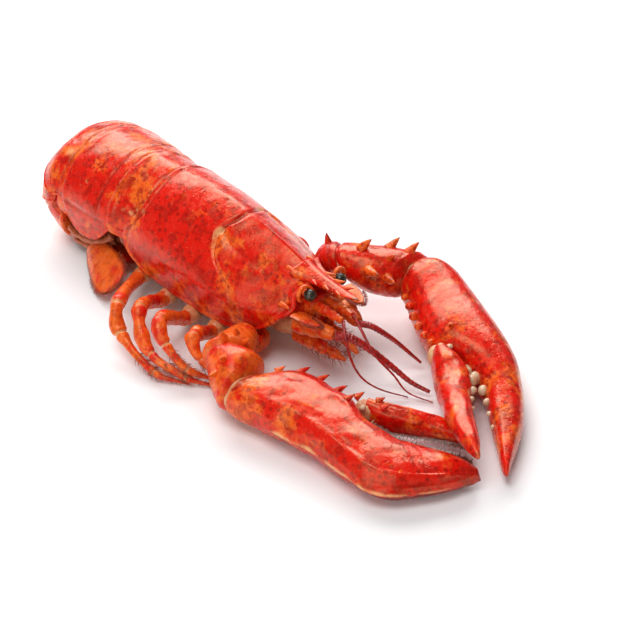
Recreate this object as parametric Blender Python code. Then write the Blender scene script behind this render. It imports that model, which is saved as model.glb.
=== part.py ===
"""Cooked lobster with its tail curled under, modelled as separate closed shell pieces.

Lengths are written in millimetres and turned into metres when a mesh is made.
The lobster heads towards -Y, +X is its left side and it lies on the plane z = 0.
"""
import math

import bmesh
import bpy
from mathutils import Vector

MM = 0.001                                # one millimetre in metres
GAP = 0.4                                 # clearance between two neighbouring pieces
STAND = Vector((-1.3, 58.3, 0.0))         # moves the body's frame to the middle of the footprint

# Carapace: values along y, from the rear edge to the eye sockets.
WIDTH = [(-95, 12.5), (-85, 16.5), (-72, 21), (-58, 25.5), (-44, 27.6), (-28, 28.4), (-10, 28.4), (14, 27.6)]
RIDGE = [(-95, 40.5), (-86, 44.5), (-74, 48.8), (-60, 52.6), (-46, 55), (-28, 57), (-8, 57.8), (14, 57)]
HEM = [(-95, 20), (-84, 16), (-70, 13), (-50, 11), (-10, 12), (14, 14)]
REAR_EDGE = [(0, 4), (0.25, 5), (0.43, 6), (0.6, 11.5), (0.82, 13.5), (0.93, 9), (1, -3)]
FRONT_EDGE = [(0, -91), (0.2, -89), (0.36, -86), (0.5, -88), (0.7, -84), (0.86, -78), (1, -67)]
ARCH_POWER = [(-95, 1.6), (-60, 1.5), (-30, 1.34), (0, 1.22)]   # above 1 makes the back pointed
RIM = 1.7                                 # thickness of the carapace at its rear edge
GROOVE_Y = [(0, -44), (0.15, -42.6), (0.28, -39), (0.43, -44), (0.56, -57), (0.7, -60), (1, -62)]

# Abdomen: it runs back and then curls down about an axis along x.
CURL_Y = 59.0
CURL_Z = 27.1
CURL_R = 28.2

SHELL = (0.62, 0.035, 0.012, 1)
SHELL_DARK = (0.36, 0.012, 0.008, 1)
SHELL_ORANGE = (0.75, 0.16, 0.03, 1)
FLESH = (0.62, 0.42, 0.25, 1)
EYE = (0.012, 0.012, 0.010, 1)


def reset_scene():
    """Empty the scene and return the lobster's own collection."""
    for obj in list(bpy.data.objects):
        bpy.data.objects.remove(obj, do_unlink=True)
    group = bpy.data.collections.new("cooked_lobster")
    bpy.context.scene.collection.children.link(group)
    return group


GROUP = reset_scene()


def shell_material(name, colour, roughness=0.32):
    """A plain glossy shell finish."""
    mat = bpy.data.materials.new(name)
    mat.use_nodes = True
    shader = mat.node_tree.nodes["Principled BSDF"]
    shader.inputs["Base Color"].default_value = colour
    shader.inputs["Roughness"].default_value = roughness
    shader.inputs["Metallic"].default_value = 0.0
    return mat


def along(keys, x):
    """Smooth value at x of a curve through (x, value) keys, flat beyond its ends."""
    if x <= keys[0][0]:
        return keys[0][1]
    if x >= keys[-1][0]:
        return keys[-1][1]
    i = max(k for k in range(len(keys) - 1) if keys[k][0] <= x)

    def slope(k):
        low, high = max(k - 1, 0), min(k + 1, len(keys) - 1)
        return (keys[high][1] - keys[low][1]) / (keys[high][0] - keys[low][0])

    (x0, v0), (x1, v1) = keys[i], keys[i + 1]
    span = x1 - x0
    t = (x - x0) / span
    bend0, bend1 = slope(i) * span, slope(i + 1) * span
    return ((2 * t**3 - 3 * t**2 + 1) * v0 + (t**3 - 2 * t**2 + t) * bend0
            + (3 * t**2 - 2 * t**3) * v1 + (t**3 - t**2) * bend1)


def steps(count, start=0.0, end=1.0):
    """Evenly spaced values, both ends included."""
    return [start + (end - start) * i / (count - 1) for i in range(count)]


def add_piece(name, bm, colour):
    """Turn a bmesh in millimetres into a named piece, standing on or above z = 0."""
    for vert in bm.verts:
        vert.co = (vert.co + STAND) * MM
        vert.co.z = max(vert.co.z, 0.0)
    bmesh.ops.triangulate(bm, faces=bm.faces[:])
    bmesh.ops.recalc_face_normals(bm, faces=bm.faces[:])
    mesh = bpy.data.meshes.new(name)
    bm.to_mesh(mesh)
    bm.free()
    mesh.shade_smooth()
    obj = bpy.data.objects.new(name, mesh)
    mesh.materials.append(shell_material(name + "_finish", colour))
    GROUP.objects.link(obj)
    return obj


def loft(rings, start_tip=None, end_tip=None):
    """Closed bmesh through rings of points; each end is flat or a fan to a tip."""
    bm = bmesh.new()
    rows = [[bm.verts.new(point) for point in ring] for ring in rings]
    count = len(rows[0])
    for low, high in zip(rows, rows[1:]):
        for i in range(count):
            j = (i + 1) % count
            bm.faces.new((low[i], low[j], high[j], high[i]))
    for row, tip, turn in ((rows[0], start_tip, -1), (rows[-1], end_tip, 1)):
        if tip is None:
            bm.faces.new(row[::turn])
            continue
        hub = bm.verts.new(tip)
        for i in range(count):
            bm.faces.new((row[i], row[(i + 1) % count], hub)[::turn])
    return bm


def pull_spine(bm, near, tip):
    """Draw the vertex closest to a point out to a spine's tip."""
    vert = min(bm.verts, key=lambda v: (v.co - Vector(near)).length)
    vert.co = Vector(tip)


# ---------------------------------------------------------------- carapace and thorax

def arch(y, turn, inset=0.0):
    """Point of the carapace's section at y; turn runs from 0 on the back to 1 at the hem."""
    width = along(WIDTH, y) - inset
    top = along(RIDGE, y) - inset
    hem = along(HEM, y)
    broad = hem + 0.36 * (top - hem)
    bend = 0.72
    if turn <= bend:
        angle = turn / bend * math.pi / 2
        power = along(ARCH_POWER, y)
        x = width * math.sin(angle) ** power
        z = broad + (top - broad) * math.cos(angle) ** power
    else:
        drop = (turn - bend) / (1 - bend)
        x = width * (1 - 0.07 * drop**2)
        z = broad - (broad - hem) * drop
    return Vector((x, y, z))


def carapace_point(run, side, inset=0.0):
    """Point of the outer shell: run 0 at the rear edge to 1 in front, side -1 to 1 across."""
    turn = abs(side)
    rear, front = along(REAR_EDGE, turn), along(FRONT_EDGE, turn)
    y = rear + (front - rear) * run
    point = arch(y, turn, inset)
    groove = math.exp(-((y - along(GROOVE_Y, turn)) / 1.8) ** 2) * 0.9
    point.z -= groove * (1 - turn)
    point.x -= groove * turn * 0.6
    return Vector((math.copysign(point.x, side), point.y, point.z))


def under_point(y, part):
    """Point of the hollow underside, part -1 to 1 across."""
    hem = along(HEM, y)
    width = along(WIDTH, y) * 0.93
    return Vector((part * width, y, hem + 6.5 * (1 - abs(part) ** 3)))


def build_carapace():
    sides = steps(23, -1, 1)
    unders = [0.88, 0.6, 0.2, -0.2, -0.6, -0.88]
    rings = []
    for offset, y in ((2.2, -9.0), (RIM, None)):
        ring = []
        for side in sides:
            point = carapace_point(0, side, offset)
            ring.append(Vector((point.x, y if y is not None else point.y - 0.3, point.z)))
        low = y if y is not None else along(REAR_EDGE, 1) - 0.6
        rings.append(ring + [under_point(low, p) + Vector((0, 0, 1.2)) for p in unders])
    for run in steps(19):
        shrink = 0.35 if run == 0 else 0.0
        ring = [carapace_point(run, side, shrink) for side in sides]
        low = ring[0].y
        rings.append(ring + [under_point(low, p) for p in unders])
    bm = loft(rings, end_tip=Vector((0, -70, 30)))
    body = add_piece("carapace", bm, SHELL)
    add_rostrum(body)
    return body


def add_rostrum(body):
    """Join the pointed beak between the eyes, with its side spines, to the carapace."""
    rings = []
    for t in steps(12):
        y = -84 - 29 * t
        half = along([(0, 7.4), (0.3, 4.4), (0.7, 2.8), (1, 0.5)], t)
        if t > 0.25 and int(t * 11) % 3 == 0:
            half += 1.2
        z = along([(0, 43), (0.35, 43), (1, 42.6)], t)
        deep = along([(0, 4), (0.5, 2.6), (1, 0.4)], t)
        ring = [Vector((half * c, y, z + deep * s)) for c, s in
                ((1, 0.25), (0.45, 0.45), (0, 0.15), (-0.45, 0.45), (-1, 0.25), (-0.5, -0.8), (0.5, -0.8))]
        rings.append(ring)
    form = loft(rings, start_tip=Vector((0, -84, 42.5)), end_tip=Vector((0, -115, 42.8)))
    beak = add_piece("rostrum_form", form, SHELL)
    join = body.modifiers.new("beak", "BOOLEAN")
    join.operation = "UNION"
    join.object = beak
    beak.hide_render = True
    beak.display_type = "WIRE"
    GROUP.objects.unlink(beak)
    FORMS.objects.link(beak)


FORMS = bpy.data.collections.new("joined_forms")
bpy.context.scene.collection.children.link(FORMS)


def build_thorax():
    """Breast plates under the carapace that the legs stand on."""
    rings = []
    for y in steps(9, -6, -80):
        top = along(HEM, y) + 4.6
        half = along([(-80, 7), (-60, 11), (-30, 14), (-6, 14)], y)
        low = along([(-80, 9), (-60, 6), (-6, 5)], y)
        rings.append([Vector((half * x, y, low + (top - low) * z)) for x, z in
                      ((-0.45, 0), (0.45, 0), (1, 0.3), (1, 0.8), (0.7, 1), (-0.7, 1), (-1, 0.8), (-1, 0.3))])
    return add_piece("thorax", loft(rings), FLESH)


# ---------------------------------------------------------------- abdomen and tail fan

def tail_point(way, part, radial):
    """Point of the abdomen: way is the run along the back in mm, radial is out from the curl line."""
    straight = CURL_Y
    if way <= straight:
        y, z = way, CURL_Z + radial
    else:
        turn = (way - straight) / CURL_R
        y = CURL_Y + math.sin(turn) * radial
        z = CURL_Z + math.cos(turn) * radial
    return Vector((part, y, z))


TAIL_WIDTH = [(-9, 22.6), (8, 24.4), (16, 26.4), (28, 29.6), (52, 30.8), (80, 31.4), (104, 31.8), (126, 31),
              (150, 29)]
TAIL_BACK = [(-9, 25.6), (6, 27.8), (24, 29.6), (46, 29), (66, 27.4), (90, 26.8), (112, 28.2), (150, 28.4)]
TAIL_BROAD = [(-9, 0), (24, 3), (60, 5), (150, 9)]
TAIL_EDGE = [(-9, -3), (24, -5), (36, -12), (48, -12), (55, -5), (58, 1.6), (64, 3), (150, 5)]
TAIL_POWER = [(-9, 1.22), (30, 1.18), (60, 1.12), (95, 0.95), (125, 0.78), (150, 0.7)]


def tail_ring(way, side_count=17, swell=0.0, tuck=0.0):
    """Section of the abdomen, an arch closed below by a shallow hollow; tuck lifts its lower edges."""
    width, back = along(TAIL_WIDTH, way) + swell, along(TAIL_BACK, way) + swell
    edge, broad = along(TAIL_EDGE, way) + tuck, along(TAIL_BROAD, way)
    power = along(TAIL_POWER, way)
    ring = []
    for side in steps(side_count, -1, 1):
        turn = abs(side)
        bend = 0.74
        if turn <= bend:
            angle = turn / bend * math.pi / 2
            x = width * math.sin(angle) ** power
            r = broad + (back - broad) * math.cos(angle) ** power
        else:
            drop = (turn - bend) / (1 - bend)
            x = width * (1 - 0.05 * drop**2)
            r = broad - (broad - edge) * drop
        ring.append(tail_point(way, math.copysign(x, side), r))
    for part in (0.84, 0.4, -0.4, -0.84):
        ring.append(tail_point(way, part * width, max(edge, 0) + 6 * (1 - abs(part) ** 3) + 0.6))
    return ring


SEGMENTS = [("abdomen_1", -8, 24, 7), ("abdomen_2", 24, 55.5, 7), ("abdomen_3", 55.5, 72, 5),
            ("abdomen_4", 72, 91, 5), ("abdomen_5", 91, 112, 5), ("abdomen_6", 112, 146, 8)]


def build_abdomen():
    for name, start, end, count in SEGMENTS:
        low, high = start + GAP / 2, end - GAP / 2
        rings = []
        for t in steps(count):
            swell = 0.9 * t if name != "abdomen_1" else 0.0
            tuck = (4.0 if start < 50 else 1.6) * abs(2 * t - 1) ** 3
            rings.append(tail_ring(low + (high - low) * t, swell=swell - 0.6, tuck=tuck))
        add_piece(name, loft(rings), SHELL)


def plate(name, root, tip, half_keys, cup, tilt, colour, thick=1.6):
    """A cupped tail plate from root to tip; tilt turns it about its length, in degrees."""
    root, tip = Vector(root), Vector(tip)
    ahead = (tip - root).normalized()
    flat = ahead.cross(Vector((0, 0, 1))).normalized()
    raised = flat.cross(ahead)
    lean = math.radians(tilt)
    across = flat * math.cos(lean) + raised * math.sin(lean)
    normal = across.cross(ahead) * -1
    rings = []
    for t in steps(6):
        half = along(half_keys, t)
        centre = root.lerp(tip, t)
        top, low = [], []
        for x in steps(5, -1, 1):
            bow = cup * (1 - x * x) * math.sin(math.pi * min(t + 0.15, 1))
            base = centre + across * (half * x) - normal * bow
            top.append(base + normal * (thick / 2 * (1 - 0.7 * x * x)))
            low.append(base - normal * (thick / 2 * (1 - 0.7 * x * x)))
        rings.append(top + low[::-1])
    return add_piece(name, loft(rings), colour)


def build_tail_fan():
    fan = [(0, 3.5), (0.3, 6.5), (0.75, 8.5), (0.95, 6), (1, 3.5)]
    wide = [(0, 4.5), (0.3, 7.8), (0.75, 9.4), (0.95, 6.5), (1, 3.5)]
    telson = [(0, 7.5), (0.3, 9), (0.8, 8), (0.96, 5.5), (1, 3)]
    plate("telson", (0, 52, 4.2), (0, 20, 6.0), telson, 1.0, 0, SHELL)
    for side, name, root, tip in ((-1, "right", (-25.6, 42, 8.4), (-40.4, 5, 9.2)),
                                  (1, "left", (25.6, 42, 8.4), (33.6, 12, 8.6))):
        plate("uropod_inner_" + name, (side * 13.6, 51, 6.0), (side * 19, 19, 6.4), fan, 1.2, -side * 16, SHELL)
        plate("uropod_outer_" + name, root, tip, wide, 1.6, side * 38, SHELL_ORANGE)


# ---------------------------------------------------------------- limbs

def limb_frame(direction, up=Vector((0, 0, 1))):
    """Side and top directions of a limb section."""
    side = direction.cross(up).normalized()
    return side, side.cross(direction).normalized()


def limb_rings(points, sizes, sides, stations):
    """Rings along a jointed limb; sizes hold (way, half width, half height) by share of the length."""
    points = [Vector(p) for p in points]
    lengths = [0.0]
    for a, b in zip(points, points[1:]):
        lengths.append(lengths[-1] + (b - a).length)
    total = lengths[-1]
    keys = [[(way / total, p[axis]) for way, p in zip(lengths, points)] for axis in range(3)]
    widths = [(way, w) for way, w, h in sizes]
    heights = [(way, h) for way, w, h in sizes]
    rings = []
    for t in stations:
        centre = Vector([along(keys[axis], t) for axis in range(3)])
        before = Vector([along(keys[axis], max(t - 0.03, 0)) for axis in range(3)])
        after = Vector([along(keys[axis], min(t + 0.03, 1)) for axis in range(3)])
        side, top = limb_frame((after - before).normalized())
        w, h = along(widths, t), along(heights, t)
        ring = []
        for i in range(sides):
            angle = 2 * math.pi * i / sides
            ring.append(centre + side * (w * math.cos(angle)) + top * (h * math.sin(angle)))
        rings.append(ring)
    return rings


# One walking leg for each row: hip, under the hem, first knee, second knee, foot joint, tip.
RIGHT_LEGS = [
    [(-16.5, 5, 9.5), (-27, 3, 10.5), (-56.5, -19.5, 20), (-61, -25, 12), (-62.5, -52, 3.6), (-55, -66, 1.2)],
    [(-16.5, -14, 9), (-28, -16, 8), (-51.5, -29, 20), (-59.5, -44, 10), (-55, -64.5, 4), (-47, -75.5, 1.2)],
    [(-16.5, -31, 9), (-29, -34, 7.5), (-52.5, -44.5, 23), (-57.3, -52.5, 19), (-54.5, -64.5, 8.5), (-44, -75, 2)],
    [(-15, -46, 9), (-27, -50, 7.5), (-46.5, -59.5, 19), (-48.5, -65, 13), (-44, -72, 5.5), (-36, -79, 1.2)],
]
LEG_SIZES = [(0, 2.8, 3.2), (0.12, 3.1, 3.5), (0.3, 2.8, 3.2), (0.46, 3.3, 3.6), (0.5, 2.5, 2.6),
             (0.56, 3.3, 3.3), (0.62, 2.6, 2.6), (0.68, 1.8, 2.0), (0.86, 1.5, 1.7), (0.9, 1.1, 1.2), (1, 0.4, 0.4)]
LEFT_TUCK = 0.76                          # the left legs are folded closer to the body
LEFT_DROP = 0.62
LEFT_SWEEP = [0, 3, 13, 18, 27, 33]       # and swept back by this much at each joint
LEFT_SHARE = [1.4, 1.4, 1.1, 1.15]
LEG_NAMES = ["leg_rear", "leg_third", "leg_second", "leg_first"]


def build_legs():
    for side, label in ((1, "right"), (-1, "left")):
        for row, (name, points) in enumerate(zip(LEG_NAMES, RIGHT_LEGS)):
            route = []
            for step, (x, y, z) in enumerate(points):
                if side < 0:
                    y += LEFT_SWEEP[step] * LEFT_SHARE[row]
                if side < 0 and step > 1:
                    x, z = x * LEFT_TUCK, z * LEFT_DROP
                route.append((side * x, y, z))
            rings = limb_rings(route, LEG_SIZES, 7, steps(17))
            add_piece(f"{name}_{label}", loft(rings), SHELL_ORANGE)


def arm_piece(name, start, end, sizes, colour, faces=None, sides=12, count=8, belly=(0, 0, 0), spines=()):
    """One arm joint; faces are the normals of its two flat ends, belly bows it, spines rise from its skin."""
    start, end, belly = Vector(start), Vector(end), Vector(belly)
    direction = (end - start).normalized()
    side, top = limb_frame(direction)
    face_a, face_b = [Vector(face).normalized() for face in faces] if faces else (direction, direction)
    start = start + direction * (GAP / 2)
    end = end - direction * (GAP / 2)
    widths = [(t, w) for t, w, h in sizes]
    heights = [(t, h) for t, w, h in sizes]

    def skin(t, angle):
        centre = start.lerp(end, t) + belly * math.sin(math.pi * t)
        offset = side * (along(widths, t) * math.cos(angle)) + top * (along(heights, t) * math.sin(angle))
        slant_a = offset.dot(face_a) / direction.dot(face_a) * (1 - t) ** 1.5
        slant_b = offset.dot(face_b) / direction.dot(face_b) * t**1.5
        return centre + offset - direction * (slant_a + slant_b)

    rings = [[skin(t, 2 * math.pi * i / sides) for i in range(sides)] for t in steps(count)]
    bm = loft(rings)
    for t, degrees, height in spines:
        angle = math.radians(degrees)
        out = side * math.cos(angle) + top * math.sin(angle)
        root = skin(t, angle)
        pull_spine(bm, root, root + out * height + direction * (height * 0.45))
    return add_piece(name, bm, colour)


def claw_ring(place, s, outer, inner, thick, sides, power=0.82, slant=0.0):
    """Flattened ring of a claw at s, from its outer to its inner outline; slant turns it across."""
    middle, half = (outer + inner) / 2, abs(inner - outer) / 2
    ring = []
    for i in range(sides):
        angle = 2 * math.pi * i / sides
        c, d = math.cos(angle), math.sin(angle)
        n = middle + half * math.copysign(abs(c) ** power, c)
        z = thick * math.copysign(abs(d) ** power, d)
        ring.append(place(s + slant * n, n, z))
    return ring


def claw_frame(wrist, tip, inward, lift, roll=0.0):
    """Function from claw lengths (along, inwards, up) to the body's frame."""
    wrist, tip = Vector(wrist), Vector(tip)
    ahead = (tip - wrist).normalized()
    side = Vector((-ahead.y, ahead.x, 0)).normalized() * inward
    top = Vector((0, 0, 1))
    top = (top - ahead * top.dot(ahead)).normalized()
    lean = math.radians(roll)
    across = side * math.cos(lean) + top * math.sin(lean)
    upward = top * math.cos(lean) - side * math.sin(lean)

    def place(s, n, z):
        return wrist + ahead * s + across * n + upward * (z + along(lift, s))
    return place


def build_claw(label, place, palm, finger, spines, slant, sides=16):
    """Palm with its fixed finger, and the moving finger that closes on it."""
    outer, inner, thick = palm
    end = outer[-1][0]
    rings = []
    for t in steps(19):
        s = 0.8 + (end - 4 - 0.8) * t
        turn = slant * max(0.0, 1 - s / 34)
        rings.append(claw_ring(place, s, along(outer, s), along(inner, s), along(thick, s), sides, slant=turn))
    bm = loft(rings, end_tip=place(end, (outer[-1][1] + inner[-1][1]) / 2, -1))
    for s, height in spines:
        skin = place(s, along(inner, s), 2)
        pull_spine(bm, skin, place(s + height * 0.4, along(inner, s) + height, 5))
    add_piece(f"claw_{label}", bm, SHELL)

    f_outer, f_inner, f_thick, f_lift = finger
    start, stop = f_outer[0][0], f_outer[-1][0]
    rings = []
    for t in steps(13):
        s = start + (stop - start) * t * 0.985
        ring = claw_ring(place, s, along(f_inner, s), along(f_outer, s), along(f_thick, s), 12, 0.9)
        rise = Vector((0, 0, along(f_lift, s)))
        rings.append([point + rise for point in ring])
    tip = place(stop, (f_outer[-1][1] + f_inner[-1][1]) / 2, along(f_lift, stop))
    add_piece(f"finger_{label}", loft(rings, end_tip=tip), SHELL)


def build_right_arm():
    face_merus, face_elbow, face_wrist = (-0.88, -0.47, 0.1), (-0.66, -0.75, 0), (0, -1, 0)
    arm_piece("ischium_right", (-12.4, -67.5, 7.6), (-24.4, -70.6, 11), [(0, 4, 3.8), (1, 5.4, 5.2)], SHELL_ORANGE,
              ((1, 0, 0), face_merus), sides=10, count=5, belly=(0, -0.6, -1.4))
    arm_piece("merus_right", (-25.2, -69.5, 14.5), (-44.5, -80, 17.5),
              [(0, 6.8, 7), (0.6, 9.5, 9.5), (0.9, 10.5, 10), (1, 9.4, 9)], SHELL_ORANGE,
              (face_merus, face_elbow), count=7, spines=((0.7, 100, 3), (0.9, 80, 3.5), (0.9, 130, 3)))
    arm_piece("carpus_right", (-44.5, -80, 17.5), (-52.4, -97.4, 13.5),
              [(0, 9, 8.6), (0.35, 11.6, 11), (0.7, 12, 11.4), (1, 9.2, 9)], SHELL_ORANGE,
              (face_elbow, face_wrist), count=8, belly=(1.6, -0.5, 0.8),
              spines=((0.5, 60, 3.5), (0.7, 90, 3.5), (0.6, 30, 3)))
    place = claw_frame((-52.6, -97.8, 0), (-13.8, -198.6, 0), 1, [(0, 12), (15, 11.5), (60, 9.5), (107, 6)])
    outer = [(0, -8), (5, -9), (20, -11.6), (34, -14), (48, -18), (58, -22), (68, -24.8), (79, -23.6),
             (90, -16), (98, -8), (104, -1), (107, 1.5)]
    inner = [(0, 9.6), (5, 14.5), (10, 18.5), (17, 20.8), (27, 19.8), (37, 17.3), (44, 15), (50, 11), (56, 7),
             (70, 3.2), (80, 4.6), (90, 6.6), (98, 7.2), (104, 5.2), (107, 3)]
    thick = [(0, 8.6), (8, 10.5), (25, 11.6), (45, 11), (60, 9.8), (80, 8), (95, 6), (104, 3.5), (107, 2)]
    f_outer = [(51, 19.8), (56, 20.4), (63, 21.6), (73, 24.6), (80, 26.4), (88, 26.6), (94, 24.4), (99, 20.6)]
    f_inner = [(51, 12.2), (57, 11.6), (63, 12.4), (70, 14.2), (80, 17.6), (88, 19.4), (94, 19.6), (99, 19)]
    f_thick = [(51, 6.2), (60, 6.6), (75, 5.4), (88, 3.8), (99, 1.4)]
    build_claw("right", place, (outer, inner, thick), (f_outer, f_inner, f_thick, [(51, 0.5), (70, -0.2), (99, -1.8)]),
               ((18, 3.0), (27, 3.4), (37, 3.0)), 0.39)


def build_left_arm():
    face_merus, face_elbow, face_wrist = (0.75, -0.35, 0.5), (0.5, -0.82, 0.4), (0, -1, 0)
    arm_piece("ischium_left", (12.4, -57, 7), (31.6, -53.4, 6.4), [(0, 4.2, 3.6), (0.7, 4.4, 3.6), (1, 4.8, 4.4)],
              SHELL_DARK, ((1, 0, 0), face_merus), sides=10, count=5)
    arm_piece("merus_left", (31.6, -53.4, 6.6), (33.4, -70, 26.5), [(0, 4.8, 4.8), (0.5, 6.6, 6.8), (1, 8.4, 8.4)],
              SHELL_DARK, (face_merus, face_elbow), count=7, belly=(1.2, 3.2, 4.6))
    arm_piece("carpus_left", (33.4, -70, 26.5), (54.4, -95.4, 21.5),
              [(0, 8.4, 8.2), (0.3, 11, 10.2), (0.75, 12.4, 10.6), (1, 10, 9.2)], SHELL, (face_elbow, face_wrist),
              count=9, belly=(-1, -1.5, 0.2),
              spines=((0.3, 90, 4.5), (0.55, 120, 4.5), (0.8, 110, 4.5), (0.5, 30, 5), (0.85, 20, 4.5), (0.7, 70, 3)))
    place = claw_frame((54.4, -95.8, 0), (-13.6, -195.8, 0), -1,
                       [(0, 21), (8, 18), (20, 15), (50, 12.5), (85, 8.2), (125, 7.5)])
    outer = [(0, -7), (5, -12.5), (12, -18), (20, -22), (35, -27.4), (57, -31.4), (75, -30.5), (92, -26.5),
             (105, -21), (115, -16), (122, -12.5)]
    inner = [(0, 8.6), (6, 7.2), (17, 6), (27, 5.4), (38, 4.2), (46, 2.2), (54, -5), (60, -10), (72, -14),
             (90, -13), (105, -12), (115, -11), (122, -11.5)]
    thick = [(0, 9.8), (8, 12.6), (25, 14.2), (45, 13.4), (60, 11.6), (85, 8.6), (105, 6), (118, 3.4), (122, 2)]
    f_outer = [(52, 3.8), (58, 5.2), (66, 6), (80, 6.8), (96, 7.2), (111, 6.2), (120, 3.6), (124.5, 1.4)]
    f_inner = [(52, -3.0), (58, -7.0), (66, -9.4), (75, -8.4), (82, -6.2), (98, -3.6), (111, -2.2), (120, -1),
               (124.5, -0.2)]
    f_thick = [(52, 8), (62, 9.2), (80, 7.4), (100, 5.2), (118, 3.2), (125, 1.2)]
    build_claw("left", place, (outer, inner, thick),
               (f_outer, f_inner, f_thick, [(52, 2.5), (70, 3.4), (90, 9), (108, 12.3), (125, 12.5)]),
               ((18, 2.0), (27, 2.0), (37, 2.0)), 0.62)


# ---------------------------------------------------------------- head

def build_head():
    rings = []
    for y in steps(4, -79.5, -90):
        top = along([(-90, 35), (-79.5, 33)], y)
        rings.append([Vector((7 * x, y, z)) for x, z in
                      ((-0.7, 21), (0.7, 21), (1, 24), (1, top - 3), (0.6, top), (-0.6, top), (-1, top - 3),
                       (-1, 24))])
    add_piece("head", loft(rings), SHELL_DARK)
    for side, label in ((-1, "right"), (1, "left")):
        bm = bmesh.new()
        bmesh.ops.create_uvsphere(bm, u_segments=10, v_segments=7, radius=3.3)
        bmesh.ops.translate(bm, verts=bm.verts[:], vec=(side * 8.8, -93.4, 40.2))
        add_piece("eye_" + label, bm, EYE)
        arm_piece("antenna_base_" + label, (side * 12.4, -88.6, 26), (side * 7.0, -106.4, 25.2),
                  [(0, 4.4, 4.4), (0.3, 4.9, 4.6), (0.6, 3.8, 3.8), (1, 2.6, 2.6)], SHELL_ORANGE, sides=10, count=6)
        arm_piece("antennule_base_" + label, (side * 3.2, -92, 31), (side * 2.9, -107, 31),
                  [(0, 2.2, 2.4), (0.5, 2.2, 2.2), (1, 1.5, 1.5)], SHELL_ORANGE, sides=8, count=4)
        plate("antenna_scale_" + label, (side * 15.8, -90, 31.6), (side * 12.6, -103.5, 31),
              [(0, 2.6), (0.4, 3.4), (0.8, 2.4), (1, 0.8)], 0.4, -side * 12, SHELL_ORANGE, 1.3)
        arm_piece("maxilliped_" + label, (side * 4.4, -80.6, 10.5), (side * 3.6, -110, 12),
                  [(0, 3.4, 3.2), (0.45, 3.1, 3.2), (0.8, 2.3, 2.4), (1, 0.8, 0.8)], SHELL_ORANGE, sides=8,
                  count=7, belly=(side * 2.2, 0, 2.5))


def feeler(name, route, thickness, colour):
    """A tapering feeler along a smooth route."""
    keys = [[(i / (len(route) - 1), p[axis]) for i, p in enumerate(route)] for axis in range(3)]
    shape = bpy.data.curves.new(name, "CURVE")
    shape.dimensions = "3D"
    shape.bevel_depth = thickness / 2 * MM
    shape.bevel_resolution = 1
    shape.use_fill_caps = True
    spline = shape.splines.new("POLY")
    ways = steps(11)
    spline.points.add(len(ways) - 1)
    for point, t in zip(spline.points, ways):
        place = (Vector([along(keys[axis], t) for axis in range(3)]) + STAND) * MM
        point.co = (*place, 1)
        point.radius = 1 - 0.6 * t
    obj = bpy.data.objects.new(name, shape)
    shape.materials.append(shell_material(name + "_finish", colour))
    GROUP.objects.link(obj)


ANTENNA_LEFT = [(6.8, -107.6, 25.2), (9.4, -112.5, 25), (14.5, -116.6, 20), (20, -118.8, 13.6), (24, -122.6, 8),
                (26.5, -126.4, 4.2)]
ANTENNA_RIGHT = [(-6.8, -107.6, 25.2), (-3.6, -112.5, 25.4), (1.6, -118, 20.5), (8, -126, 12), (11.6, -134.6, 6.2),
                 (15.6, -142.3, 3)]
FLAGELLA = {
    "antennule_right": [(-2.9, -107.8, 31.2), (-6.8, -112.8, 29.4), (-7.6, -117.4, 19), (-5, -121.4, 10),
                        (0.4, -127, 4), (8, -136.8, 1.1)],
    "antennule_left": [(2.9, -107.8, 31.2), (1, -115, 28), (1.4, -122.5, 19.5), (5.6, -130, 10.5),
                       (8, -136.5, 3.6), (13, -146.6, 1.2)],
}


def build_feelers():
    feeler("antenna_left", ANTENNA_LEFT, 3.2, SHELL)
    feeler("antenna_right", ANTENNA_RIGHT, 4.4, SHELL)
    for name, route in FLAGELLA.items():
        feeler(name, route, 1.5, SHELL_DARK)


build_carapace()
build_thorax()
build_abdomen()
build_tail_fan()
build_legs()
build_right_arm()
build_left_arm()
build_head()
build_feelers()
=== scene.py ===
import math

import bmesh
import bpy
import numpy as np
from bpy.props import FloatProperty, FloatVectorProperty, IntProperty, PointerProperty
from mathutils import Matrix, Vector


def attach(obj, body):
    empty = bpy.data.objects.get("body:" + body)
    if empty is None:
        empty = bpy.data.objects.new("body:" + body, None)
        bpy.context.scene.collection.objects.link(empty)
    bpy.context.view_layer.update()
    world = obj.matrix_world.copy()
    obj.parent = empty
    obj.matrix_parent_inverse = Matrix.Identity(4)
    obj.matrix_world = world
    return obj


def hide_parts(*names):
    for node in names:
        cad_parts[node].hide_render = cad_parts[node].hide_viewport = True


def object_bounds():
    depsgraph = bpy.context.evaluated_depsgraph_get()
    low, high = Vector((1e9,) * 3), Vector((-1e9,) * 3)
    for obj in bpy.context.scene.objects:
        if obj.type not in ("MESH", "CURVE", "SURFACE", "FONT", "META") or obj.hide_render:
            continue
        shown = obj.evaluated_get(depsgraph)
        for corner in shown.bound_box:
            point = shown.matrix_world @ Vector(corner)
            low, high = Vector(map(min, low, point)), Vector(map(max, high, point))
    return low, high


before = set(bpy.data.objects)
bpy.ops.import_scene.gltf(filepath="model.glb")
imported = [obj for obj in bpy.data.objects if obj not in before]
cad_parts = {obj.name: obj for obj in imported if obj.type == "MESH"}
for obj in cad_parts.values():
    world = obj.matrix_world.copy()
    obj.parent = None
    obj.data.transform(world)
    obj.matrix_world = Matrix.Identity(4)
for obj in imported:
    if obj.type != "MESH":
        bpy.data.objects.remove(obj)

bl_info = {
    "name": "Cooked Lobster",
    "version": (1, 0, 0),
    "blender": (4, 5, 0),
    "location": "View3D > Sidebar > Lobster",
    "description": "Builds the shell pieces, limbs and feelers of a cooked lobster over its frame",
    "category": "Add Mesh",
}

MM = 0.001
CAD_LOW, CAD_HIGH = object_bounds()
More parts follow.
